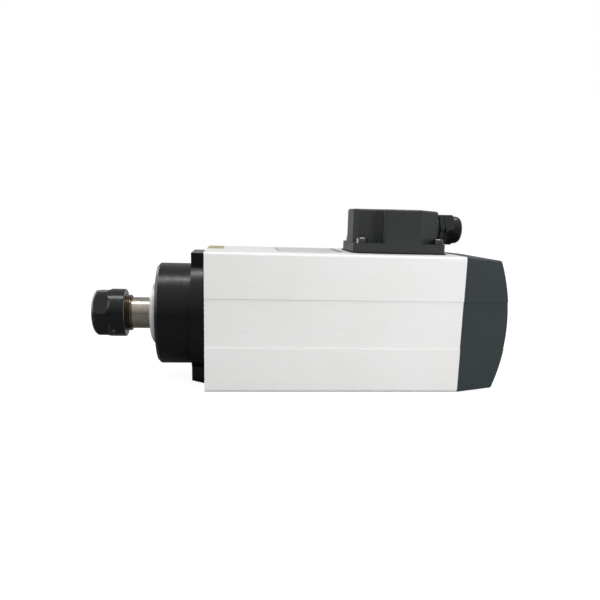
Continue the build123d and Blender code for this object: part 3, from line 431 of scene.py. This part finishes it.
# ---------------------------------------------------------------- collet nut
# Steel nut, turned, milled with six flats and blackened; its rear face is faced bright afterwards,
# and one small balance hole is drilled through the black.
facing_cut = 0.25           # depth that the rear face is bare to
balance_x = nut_rear - 9.9
balance_angle = radians(42)   # of the balance hole, down from the near side
balance_r = 1.5
balance_foot = 15.0         # the hole is bare from this far out from the axis
nut_black, nut_sheen = (4, 5, 6), (8, 9, 10)
nut_worn, nut_bare = (120, 120, 122), (205, 204, 202)
black_nut = Finish("blackened_nut", (33, 34, 35), roughness=0.40, gloss=0.42)
black = black_nut.mottled(black_nut.grain(per_mm=0.3), nut_black, nut_sheen, start=0.35)
black = black_nut.edged(black, nut_worn, width_mm=0.3, most=0.45)
along_hole, beside_hole = [
    black_nut.math("ADD", black_nut.math("MULTIPLY", black_nut.axis("Y"), share_y),
                   black_nut.math("MULTIPLY", black_nut.axis("Z"), share_z))
    for share_y, share_z in ((-cos(balance_angle), -sin(balance_angle)),
                             (sin(balance_angle), -cos(balance_angle)))]
before_hole = black_nut.math("SUBTRACT", black_nut.axis("X"), balance_x)
drilled = black_nut.math(
    "MULTIPLY",
    black_nut.math("LESS_THAN", black_nut.away(beside_hole, before_hole), balance_r),
    black_nut.math("GREATER_THAN", along_hole, balance_foot))
faced = black_nut.math("GREATER_THAN", black_nut.axis("X"), nut_rear - facing_cut)
bare = black_nut.math("MAXIMUM", faced, drilled)
black_nut.colour(black_nut.blend(bare, black, nut_bare))
black_nut.metal(bare)
black_nut.roughness(bare, 0.23, 0.30, start=0, end=1)
black_nut.bump(black_nut.grain(per_mm=1.5), depth_mm=0.004, soften_mm=0.3)
black_nut.onto("collet_nut")

# ---------------------------------------------------------------- fan cover
# Injection-moulded cover in slate grey, with the fine spark-eroded grain of its mould.
# Its edges are painted a shade lighter, as a painted highlight along them.
slate_dark, slate_light, slate_dull = (39, 47, 49), (46, 54, 56), (42, 46, 46)
slate_edge_highlight = (98, 106, 109)
slate = Finish("slate_moulding", (60, 67, 69), roughness=0.52)
spark_grain = slate.grain(per_mm=2.4)
flow = slate.grain(per_mm=0.03, detail=2)
moulded = slate.mottled(spark_grain, slate_dark, slate_light)
moulded = slate.mottled(flow, moulded, slate_dull, start=0.35, most=0.5)
# Painted highlight: every edge turns part of the way to a lighter blue-grey.
slate.colour(slate.edged(moulded, slate_edge_highlight, width_mm=0.5, most=0.4))
slate.roughness(spark_grain, 0.46, 0.60)
slate.bump(spark_grain, depth_mm=0.03, soften_mm=0.35)
slate.onto("fan_cover")

# ---------------------------------------------------------------- terminal box
# Die-cast box, painted dark grey over a fine cast skin.  It is narrow towards the nose and full
# width in the middle, and slopes in to the gland's spout.  Four screws hold it by its flange.
box_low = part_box("terminal_box")[0][2] / MM
box_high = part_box("terminal_box")[1][2] / MM
flange_rise = 7.5
flange_start, flange_end = 138.0, 217.5
flange_half = 34.0
front_corner, rear_corner = 7.0, 3.0
box_start, box_end = 139.4, 213.5
neck_half, neck_corner = 18.5, 4.0
box_step, box_shoulder = 163.0, 194.5
step_root, step_brow = 5.0, 2.5   # slanted corners at the foot and the brow of the step
end_half = 18.4
end_face = 1.0              # flat beside the corner of the end wall
corner_share = 0.414        # when an outline is drawn in by 1, its slanted corners' ends slide by
shoulder_share, end_share = 0.36, 0.5   # this, and the ends of its sloping sides by these
box_wall = 3.0
neck_wall = 0.5
lid_edge = 1.2              # chamfer round the lid
lid_drop = 0.9              # fall of the lid towards the gland
spout_r, spout_end = 11.6, 217.9
spout_edge = 0.5
gland_axis = (0, 0, 79.0)
gland_thread_r = 10.0
bore_gap = 0.06
screw_r, screw_gap = 2.05, 0.7
washer_r, washer_gap = 4.9, 0.3
past = 1.0                  # how far a cutting tool runs out past what it cuts
drill_reach = 30.0          # from the flange's top to above the lid
screw_front, screw_rear, screw_half_span = 145.5, 212.3, 27.0
screw_places = [(x, side * screw_half_span) for x in (screw_front, screw_rear) for side in (-1, 1)]
round_steps = 72
cast_crease, turned_crease = 12, 30   # degrees at which an edge stays sharp


def shut(made, name, crease):
    """Turn a mesh under way into a piece: joined up, facing outwards, smooth but for creases."""
    bmesh.ops.remove_doubles(made, verts=made.verts, dist=0.001 * MM)
    bmesh.ops.recalc_face_normals(made, faces=made.faces)
    mesh = bpy.data.meshes.new(name)
    made.to_mesh(mesh)
    made.free()
    mesh.shade_smooth()
    mesh.set_sharp_from_angle(angle=radians(crease))
    piece = bpy.data.objects.new(name, mesh)
    scene.collection.objects.link(piece)
    return piece


def skinned(name, outlines):
    """Closed skin over outlines of equally many points, with strips across its first and last."""
    made = bmesh.new()
    rows = [[made.verts.new((x * MM, y * MM, z * MM)) for x, y, z in outline]
            for outline in outlines]
    for near, far in zip(rows, rows[1:]):
        for number in range(len(near)):
            after = (number + 1) % len(near)
            made.faces.new((near[number], near[after], far[after], far[number]))
    for row in (rows[0], rows[-1]):
        for number in range(len(row) // 2 - 1):
            made.faces.new((row[number], row[number + 1], row[-2 - number], row[-1 - number]))
    return shut(made, name, cast_crease)


def lathed(name, profile, place=(0, 0, 0), upright=False, flats=0, turn=0):
    """Piece turned from a closed profile of (along, radius) points, and milled to a hexagon
    where it is given a size across flats."""
    made = bmesh.new()
    rows = []
    for step in range(round_steps):
        angle = 2 * pi * step / round_steps
        row = []
        for along, radius in profile:
            if flats:
                off_middle = (angle - radians(turn) + pi / 6) % (pi / 3) - pi / 6
                radius = min(radius, flats / 2 / cos(off_middle))
            across, up = radius * cos(angle), radius * sin(angle)
            at = (across, up, along) if upright else (along, across, up)
            row.append(made.verts.new([(value + start) * MM for value, start in zip(at, place)]))
        rows.append(row)
    for number, row in enumerate(rows):
        following = rows[(number + 1) % round_steps]
        for point in range(len(profile)):
            after = (point + 1) % len(profile)
            made.faces.new((row[point], row[after], following[after], following[point]))
    return shut(made, name, turned_crease)


def worked(piece, kind, *tools):
    """Cut tools out of a piece, or join them onto it; the tools are used up."""
    for tool in tools:
        step = piece.modifiers.new("work", "BOOLEAN")
        step.operation = kind
        step.solver = "EXACT"
        step.object = tool
    finished = piece.evaluated_get(bpy.context.evaluated_depsgraph_get())
    mesh = bpy.data.meshes.new_from_object(finished)
    piece.modifiers.clear()
    piece.data = mesh
    mesh.set_sharp_from_angle(angle=radians(cast_crease))
    for tool in tools:
        bpy.data.objects.remove(tool)


def both_sides(half, height):
    """Outline at one height, from its points on the side away from the front."""
    return [(x, y, height(x) if callable(height) else height)
            for x, y in half + [(x, -y) for x, y in half[::-1]]]


def flange_half_plan(margin):
    """Plan of the flange, or of a sheet that stands out round it by a margin."""
    far = flange_half + margin
    bevel = margin * corner_share
    return [(flange_start - margin, far - front_corner - bevel),
            (flange_start + front_corner - bevel, far),
            (box_step - step_root, far), (box_step, far),
            (box_step, far), (box_step + step_brow, far), (box_shoulder, far),
            (flange_end - rear_corner + bevel, far),
            (flange_end + margin, far - rear_corner - bevel)]


def upper_half_plan(inset, neck_inset):
    """Plan of the box above its flange, drawn in by an inset, and its neck by another."""
    bevel = neck_inset * corner_share
    near, far = neck_half - neck_inset, flange_half - inset
    end = end_half - inset * end_share
    return [(box_start + neck_inset, neck_half - neck_corner - bevel),
            (box_start + neck_corner + bevel, near),
            (box_step + inset - step_root, near), (box_step + inset, near + step_root),
            (box_step + inset, far - step_brow), (box_step + inset + step_brow, far),
            (box_shoulder - inset * shoulder_share, far), (box_end - inset, end),
            (box_end - inset, end_half - end_face - inset * end_share)]


def lid(x):
    """Height of the lid, level as far as the shoulder and then falling towards the gland."""
    return box_high - lid_drop * max(0.0, x - box_shoulder) / (box_end - box_shoulder)


def lid_rim(x):
    return lid(x) - lid_edge


flange_top = box_low + flange_rise
hollow = upper_half_plan(box_wall, neck_wall)
outside = upper_half_plan(0, 0)
flange_edge = flange_half_plan(0)
box = skinned("terminal_box_shell", [
    both_sides(hollow, box_high - box_wall), both_sides(hollow, box_low),
    both_sides(flange_edge, box_low), both_sides(flange_edge, flange_top),
    both_sides(outside, flange_top), both_sides(outside, lid_rim),
    both_sides(upper_half_plan(lid_edge, lid_edge), lid)])

spout_root = box_end - box_wall
spout = lathed("spout", [
    (spout_root, 0), (spout_root, spout_r), (spout_end - spout_edge, spout_r),
    (spout_end, spout_r - spout_edge), (spout_end, 0)], gland_axis)
worked(box, "UNION", spout)

bore_root, bore_r = spout_root - box_wall, gland_thread_r + bore_gap
bore = lathed("bore", [
    (bore_root, 0), (bore_root, bore_r), (spout_end + past, bore_r), (spout_end + past, 0)],
    gland_axis)
hole_r, seat_r = screw_r + screw_gap, washer_r + washer_gap
drill_profile = [(-past, 0), (-past, hole_r), (flange_rise, hole_r), (flange_rise, seat_r),
                 (flange_rise + drill_reach, seat_r), (flange_rise + drill_reach, 0)]
drills = [lathed("drill", drill_profile, (x, y, box_low), upright=True) for x, y in screw_places]
worked(box, "DIFFERENCE", bore, *drills)

box_dark, box_light, box_rim = (34, 37, 36), (41, 44, 43), (80, 83, 82)
speck_share = 0.4
painted = Finish("painted_casting", (60, 62, 61), roughness=0.50)
cast_skin = painted.grain(per_mm=1.4, detail=4)
specks = painted.grain(per_mm=5.0, detail=2)
coat = painted.mottled(cast_skin, box_dark, box_light)
painted.colour(painted.edged(coat, box_rim, width_mm=0.5, most=0.4))
painted.roughness(cast_skin, 0.42, 0.60)
painted.bump(painted.math("ADD", cast_skin, painted.math("MULTIPLY", specks, speck_share)),
             depth_mm=0.05, soften_mm=0.4)
painted.onto(box)
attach(box, "housing")
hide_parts("terminal_box")

# ---------------------------------------------------------------- box gasket
# Flat sheet rubber, cut to the outline of the box's flange a little oversize and open inside it.
# The flange clamps it on the top of the housing.
gasket_rise = 1.0
gasket_margin = 1.2
gasket_gap = 0.02
gasket_top, gasket_low = box_low - gasket_gap, box_low - gasket_rise
gasket_edge = flange_half_plan(gasket_margin)
gasket = skinned("cut_gasket", [
    both_sides(hollow, gasket_top), both_sides(hollow, gasket_low),
    both_sides(gasket_edge, gasket_low), both_sides(gasket_edge, gasket_top),
    both_sides(hollow, gasket_top)])
gasket_black, gasket_dusty = (24, 26, 25), (34, 36, 35)
rubber = Finish("gasket_rubber", (38, 40, 39), roughness=0.75, gloss=0.3)
rubber.colour(rubber.mottled(rubber.grain(per_mm=0.8), gasket_black, gasket_dusty))
rubber.bump(rubber.grain(per_mm=3.0), depth_mm=0.02)
rubber.onto(gasket)
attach(gasket, "housing")
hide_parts("box_gasket")

# ---------------------------------------------------------------- box and earth screws, washers
# Four pan head screws with cross recesses, on plain washers, clamp the box's flange to the housing;
# an earth screw stands inside the box.  All are steel, zinc plated and a little dulled.
washer_hole_r, washer_rise = 2.6, 1.2
shank, thread_edge = 14.3, 0.4
head_r, head_rise = 4.7, 3.6
head_round = ((0.55, 0.0), (0.78, 0.25), (0.93, 0.75), (1.0, 1.4))   # (share of rise, drawn in)
cross_long, cross_wide, cross_deep = 5.2, 1.3, 2.0


def repeated(name, model, places):
    """One piece made of copies of a model, which is used up."""
    made = bmesh.new()
    for place in places:
        held = len(made.verts)
        made.from_mesh(model.data)
        made.verts.ensure_lookup_table()
        bmesh.ops.translate(made, vec=Vector(place) * MM, verts=made.verts[held:])
    bpy.data.objects.remove(model)
    return shut(made, name, turned_crease)


screw = lathed("screw", [
    (-shank, 0), (-shank, screw_r - thread_edge), (thread_edge - shank, screw_r), (0, screw_r),
    (0, head_r), *((head_rise * share, head_r - inward) for share, inward in head_round),
    (head_rise, 0)], upright=True)
slots = [skinned("slot", [
    [(-long / 2, wide / 2, z), (long / 2, wide / 2, z), (long / 2, -wide / 2, z),
     (-long / 2, -wide / 2, z)] for z in (head_rise - cross_deep, head_rise + past)])
    for long, wide in ((cross_long, cross_wide), (cross_wide, cross_long))]
worked(screw, "DIFFERENCE", *slots)
screws = repeated("pan_head_screws", screw,
                  [(x, y, flange_top + washer_rise) for x, y in screw_places])
washer = lathed("washer", [
    (0, washer_hole_r), (0, washer_r), (washer_rise, washer_r), (washer_rise, washer_hole_r)],
    upright=True)
washers = repeated("plain_washers", washer, [(x, y, flange_top) for x, y in screw_places])

zinc_bright, zinc_dull = (128, 126, 120), (96, 93, 86)
zinc = Finish("zinc_plating", (186, 184, 176), roughness=0.26, metallic=1.0)
zinc.colour(zinc.mottled(zinc.grain(per_mm=0.7), zinc_bright, zinc_dull, start=0.35))
zinc.roughness(zinc.grain(per_mm=1.6), 0.16, 0.34)
zinc.bump(zinc.grain(per_mm=2.5), depth_mm=0.01, soften_mm=0.15)
zinc.onto(screws, washers, "earth_screw")
for piece, node in ((screws, "box_screws"), (washers, "box_washers")):
    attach(piece, "housing")
    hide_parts(node)

# ---------------------------------------------------------------- cable gland
# Moulded black nylon with a low sheen: a body with six flats screws into the box's spout from
# outside, a domed nut with six flats closes on it, and a lock nut holds it inside the box.
gland_flats, gland_corner = 26.0, 15.1
gland_turn = 30             # degrees, so that a flat faces straight up
gland_inner_end = 206.5
gland_bore_r = 7.0
collar_r, collar_rise, collar_wall = 9.4, 4.0, 0.8
thread_start_edge = 0.6
hexagon = 4.0
hexagon_edge, hexagon_bevel = 0.7, 0.9   # length and depth of the corners' chamfer
nut_gap = 0.4
nut_hexagon = 8.6
nut_bore_r = 9.7
nut_corners = ((0.0, 1.5), (0.5, 0.7), (1.2, 0.0))   # how far in, and how far below the corner
dome, dome_bend = 8.4, 5.5
dome_r, tip_r, mouth_r = 12.0, 8.2, 6.5
dome_steps = 6
mouth_depth, mouth_flare = 2.5, 0.8
hexagon_end = spout_end + hexagon
nut_start = hexagon_end + nut_gap
nut_hexagon_end = nut_start + nut_hexagon
dome_tip = nut_hexagon_end + dome
collar_end = nut_start + collar_rise
gland = lathed("gland_moulding", [
    (gland_inner_end, gland_bore_r), (gland_inner_end, gland_thread_r - thread_start_edge),
    (gland_inner_end + thread_start_edge, gland_thread_r), (spout_end, gland_thread_r),
    (spout_end, gland_corner - hexagon_bevel), (spout_end + hexagon_edge, gland_corner),
    (hexagon_end - hexagon_edge, gland_corner), (hexagon_end, gland_corner - hexagon_bevel),
    (hexagon_end, collar_r), (collar_end, collar_r), (collar_end, collar_r - collar_wall),
    (nut_start, collar_r - collar_wall), (nut_start, gland_bore_r)],
    gland_axis, flats=gland_flats, turn=gland_turn)
round_over = [(dome_tip - dome_bend + dome_bend * sin(step * pi / (2 * dome_steps)),
               tip_r + (dome_r - tip_r) * cos(step * pi / (2 * dome_steps)))
              for step in range(dome_steps + 1)]
dome_nut = lathed("gland_dome", [
    (nut_start, nut_bore_r),
    *((nut_start + inward, gland_corner - below) for inward, below in nut_corners),
    *((nut_hexagon_end - inward, gland_corner - below) for inward, below in nut_corners[::-1]),
    (nut_hexagon_end, dome_r), *round_over, (dome_tip, mouth_r),
    (dome_tip - mouth_depth, mouth_r + mouth_flare), (dome_tip - dome_bend, nut_bore_r)],
    gland_axis, flats=gland_flats, turn=gland_turn)

nylon_black, nylon_edge_highlight = (9, 11, 11), (74, 80, 82)
nylon = Finish("gland_nylon", (27, 30, 30), roughness=0.30, gloss=0.4)
# Painted highlight: every edge turns part of the way to a lighter blue-grey rim.
nylon.colour(nylon.edged(nylon_black, nylon_edge_highlight, width_mm=0.3, most=0.35))
nylon.roughness(nylon.grain(per_mm=0.5), 0.22, 0.34)
nylon.bump(nylon.grain(per_mm=1.2), depth_mm=0.005, soften_mm=0.3)
nylon.onto(gland, dome_nut, "gland_lock_nut")
for piece, node in ((gland, "gland_body"), (dome_nut, "gland_dome_nut")):
    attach(piece, "housing")
    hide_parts(node)

# ---------------------------------------------------------------- gland seal
# Soft rubber ring inside the gland, which the domed nut squeezes round a cord.
# It is dusty black and almost without gloss.
seal_black, seal_dusty = (21, 22, 22), (33, 34, 34)
seal_rubber = Finish("seal_rubber", (24, 25, 25), roughness=0.7, gloss=0.3)
seal_rubber.colour(seal_rubber.mottled(seal_rubber.grain(per_mm=0.9), seal_black, seal_dusty))
seal_rubber.bump(seal_rubber.grain(per_mm=2.5), depth_mm=0.02)
seal_rubber.onto("gland_seal")

# ---------------------------------------------------------------- name plate
# Thin bare aluminium plate bonded to the top of the housing, printed with nothing but a thin dark
# border and one dark bar at the box end.
plate_low, plate_high = [[value / MM for value in corner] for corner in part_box("name_plate")]
border_inset = 0.9
border_width = 0.7
bar_width = 3.2
bar_inset = 2.0
plate_grey, plate_bright, print_grey = (214, 213, 211), (230, 229, 227), (120, 119, 118)
plate_metal = Finish("plate_aluminium", (222, 221, 219), roughness=0.40, metallic=0.5)
brushed = plate_metal.grain(per_mm=2.2, stretch=(0.03, 1, 1))
from_edges = [
    plate_metal.math("MULTIPLY", plate_metal.math(
        "SUBTRACT", plate_metal.axis(letter), corner[number]), side)
    for number, letter in enumerate("XY") for corner, side in ((plate_low, 1), (plate_high, -1))]
from_edge = from_edges[0]
for other in from_edges[1:]:
    from_edge = plate_metal.math("MINIMUM", from_edge, other)
border = plate_metal.between(from_edge, border_inset, border_inset + border_width)
from_bar = plate_metal.math("SUBTRACT", plate_high[0] - bar_inset, plate_metal.axis("X"))
bar = plate_metal.math("MULTIPLY", plate_metal.between(from_bar, 0.0, bar_width),
                       plate_metal.math("GREATER_THAN", from_edge, border_inset))
plate_metal.colour(plate_metal.blend(plate_metal.math("MAXIMUM", border, bar),
                                     plate_metal.mottled(brushed, plate_grey, plate_bright),
                                     print_grey))
plate_metal.bump(brushed, depth_mm=0.006, soften_mm=0.15)
plate_metal.onto("name_plate")

# ---------------------------------------------------------------- bearings
# Rings of chrome steel, ground and polished, with balls of the same steel.
# The cage pieces stand for the balls with the moulding that spaces them.
ring_bright, ring_dull = (204, 204, 205), (182, 181, 179)
bearing = Finish("bearing_steel", (196, 196, 197), roughness=0.14, metallic=1.0)
bearing.colour(bearing.mottled(bearing.grain(per_mm=0.6), ring_bright, ring_dull, start=0.35))
bearing.bump(bearing.grain(per_mm=4.0, detail=2, stretch=(1, 0.1, 0.1)),
             depth_mm=0.004, soften_mm=0.15)
bearing.onto("front_bearing_outer_rings", "front_bearing_inner_rings",
             "rear_bearing_outer_rings", "rear_bearing_inner_rings",
             "front_ball_cages", "rear_ball_cages")

# ---------------------------------------------------------------- lock nuts
# Turned steel rings with slots for a hook spanner, screwed up against the inner rings.
# The lathe leaves fine lines across their faces.
nut_steel_bright, nut_steel_dull = (158, 157, 154), (128, 124, 118)
nut_steel = Finish("turned_steel", (150, 149, 146), roughness=0.32, metallic=1.0)
nut_steel.colour(nut_steel.mottled(nut_steel.grain(per_mm=0.8),
                                   nut_steel_bright, nut_steel_dull, start=0.35))
nut_steel.bump(nut_steel.grain(per_mm=3.0, stretch=(0.1, 1, 1)), depth_mm=0.01, soften_mm=0.15)
nut_steel.onto("front_lock_nut", "rear_lock_nut")

# ---------------------------------------------------------------- preload spring and fan circlip
# Disc spring that loads the rear bearings, and circlip that keeps the impeller on the shaft.
# Both are spring steel, blued by its heat treatment, with straw patches.
blued, straw = (78, 82, 96), (104, 98, 92)
spring_steel = Finish("blued_spring_steel", (88, 90, 98), roughness=0.28, metallic=1.0)
spring_steel.colour(spring_steel.mottled(spring_steel.grain(per_mm=0.4),
                                         blued, straw, start=0.35))
spring_steel.bump(spring_steel.grain(per_mm=3.0, detail=2), depth_mm=0.006)
spring_steel.onto("preload_spring", "fan_circlip")

# ---------------------------------------------------------------- stator and rotor stacks
# Stacks of thin electrical-steel sheets, one pressed into the housing and one onto the shaft.
# Each shows its sheets as fine lines round it.
sheet_lines = 0.62          # how closely they lie
gap_grey, sheet_grey = (84, 84, 88), (134, 134, 136)
stack = Finish("lamination_steel", (112, 112, 114), roughness=0.42, metallic=0.9)
sheets = stack.tree.nodes.new("ShaderNodeTexWave")
sheets.bands_direction = "X"
sheets.inputs["Scale"].default_value = sheet_lines
stack.link(stack.stretched(1, 1, 1), sheets.inputs["Vector"])
stack.colour(stack.blend(sheets.outputs["Fac"], gap_grey, sheet_grey))
stack.bump(sheets.outputs["Fac"], depth_mm=0.03)
stack.onto("stator_core", "rotor_core")

# ---------------------------------------------------------------- stator windings
# Coils of enamelled copper wire, laced into the stator's slots.
# The strands run mostly round the end turns, and the varnish darkens some of them.
copper_dark, copper_bright = (98, 42, 22), (186, 100, 54)
copper = Finish("enamelled_copper", (150, 74, 38), roughness=0.30, metallic=0.6)
strands = copper.grain(per_mm=1.1, stretch=(1, 0.25, 0.25))
copper.colour(copper.mottled(strands, copper_dark, copper_bright, start=0.35, end=0.65))
copper.bump(strands, depth_mm=0.25)
copper.onto("stator_windings")

# ---------------------------------------------------------------- stator leads
# Three leads in woven glass sleeves, from the windings up to the terminal block.
# The weave gives them a fine, uneven surface.
sleeve_shadow, sleeve_light = (184, 176, 158), (220, 216, 204)
woven = Finish("woven_sleeve", (206, 200, 184), roughness=0.7)
woven.colour(woven.mottled(woven.grain(per_mm=2.5, detail=2),
                           sleeve_shadow, sleeve_light, start=0.35, end=0.65))
woven.bump(woven.grain(per_mm=3.5, detail=2), depth_mm=0.06)
woven.onto("stator_leads")

# ---------------------------------------------------------------- rotor cage and rear bracket
# The cage is cast into the rotor in aluminium; the rear bracket is an aluminium casting, machined
# only where the bearings and the housing fit.
cast_dull, cast_bright = (152, 153, 154), (190, 190, 190)
cast = Finish("bare_casting", (172, 173, 174), roughness=0.48, metallic=0.85)
sand = cast.grain(per_mm=0.9, detail=4)
cast.colour(cast.mottled(sand, cast_dull, cast_bright))
cast.roughness(sand, 0.38, 0.58)
cast.bump(sand, depth_mm=0.06, soften_mm=0.3)
cast.onto("rotor_cage", "rear_bearing_bracket")

# ---------------------------------------------------------------- fan
# Impeller moulded in black glass-filled nylon and held on the shaft behind the rear bearings.
# It is matt, with a faint mottle from the fibres.
fan_black, fan_fibre = (30, 32, 34), (46, 48, 50)
impeller = Finish("impeller_plastic", (36, 38, 40), roughness=0.5)
impeller.colour(impeller.mottled(impeller.grain(per_mm=0.35), fan_black, fan_fibre))
impeller.bump(impeller.grain(per_mm=1.8), depth_mm=0.02, soften_mm=0.25)
impeller.onto("fan_impeller")

# ---------------------------------------------------------------- terminal block
# Block moulded in brown phenolic, which stands on the housing inside the terminal box.
# It carries the studs that the leads are clamped to.
block_dark, block_light = (46, 30, 23), (64, 44, 34)
phenolic = Finish("phenolic_moulding", (52, 34, 26), roughness=0.40)
phenolic.colour(phenolic.mottled(phenolic.grain(per_mm=0.5), block_dark, block_light))
phenolic.bump(phenolic.grain(per_mm=1.5), depth_mm=0.02, soften_mm=0.2)
phenolic.onto("terminal_block")

# ---------------------------------------------------------------- terminal studs and nuts
# Six studs set in the block, each with a hexagon nut, all in brass.
# They are bright from the machine and beginning to tarnish.
brass_bright, brass_tarnish = (214, 178, 102), (168, 130, 70)
brass = Finish("brass", (206, 168, 92), roughness=0.28, metallic=1.0)
brass.colour(brass.mottled(brass.grain(per_mm=0.8), brass_bright, brass_tarnish, start=0.35))
brass.bump(brass.grain(per_mm=3.0), depth_mm=0.01, soften_mm=0.12)
brass.onto("terminal_studs", "terminal_nuts")

# ---------------------------------------------------------------- small label
# Pale yellow paper label with rounded corners, left blank, stuck across the front of the
# housing's top.
label_start, label_end = 13.0, 27.0
label_near, label_far = -2.0, 47.0
label_corner = 1.5
label_steps = 6
label_gap, label_thickness = 0.02, 0.12
label_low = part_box("body_extrusion")[1][2] / MM + label_gap

outline = []
for quarter, (x, y) in enumerate(((label_end - label_corner, label_far - label_corner),
                                  (label_start + label_corner, label_far - label_corner),
                                  (label_start + label_corner, label_near + label_corner),
                                  (label_end - label_corner, label_near + label_corner))):
    for step in range(label_steps + 1):
        angle = (quarter + step / label_steps) * pi / 2
        outline.append((x + label_corner * cos(angle), y + label_corner * sin(angle)))
made = bmesh.new()
low, high = [[made.verts.new((x * MM, y * MM, z * MM)) for x, y in outline]
             for z in (label_low, label_low + label_thickness)]
made.faces.new(high)
made.faces.new(low[::-1])
for number in range(len(low)):
    after = (number + 1) % len(low)
    made.faces.new((low[number], low[after], high[after], high[number]))
label_mesh = bpy.data.meshes.new("front_label")
made.to_mesh(label_mesh)
made.free()
label = bpy.data.objects.new("front_label", label_mesh)
scene.collection.objects.link(label)

paper_light, paper_dull = (178, 171, 128), (169, 162, 120)
paper = Finish("label_paper", (214, 202, 140), roughness=0.6, gloss=0.3)
paper.colour(paper.mottled(paper.grain(per_mm=0.4), paper_light, paper_dull))
paper.bump(paper.grain(per_mm=2.5), depth_mm=0.008)
paper.onto(label)
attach(label, "housing")
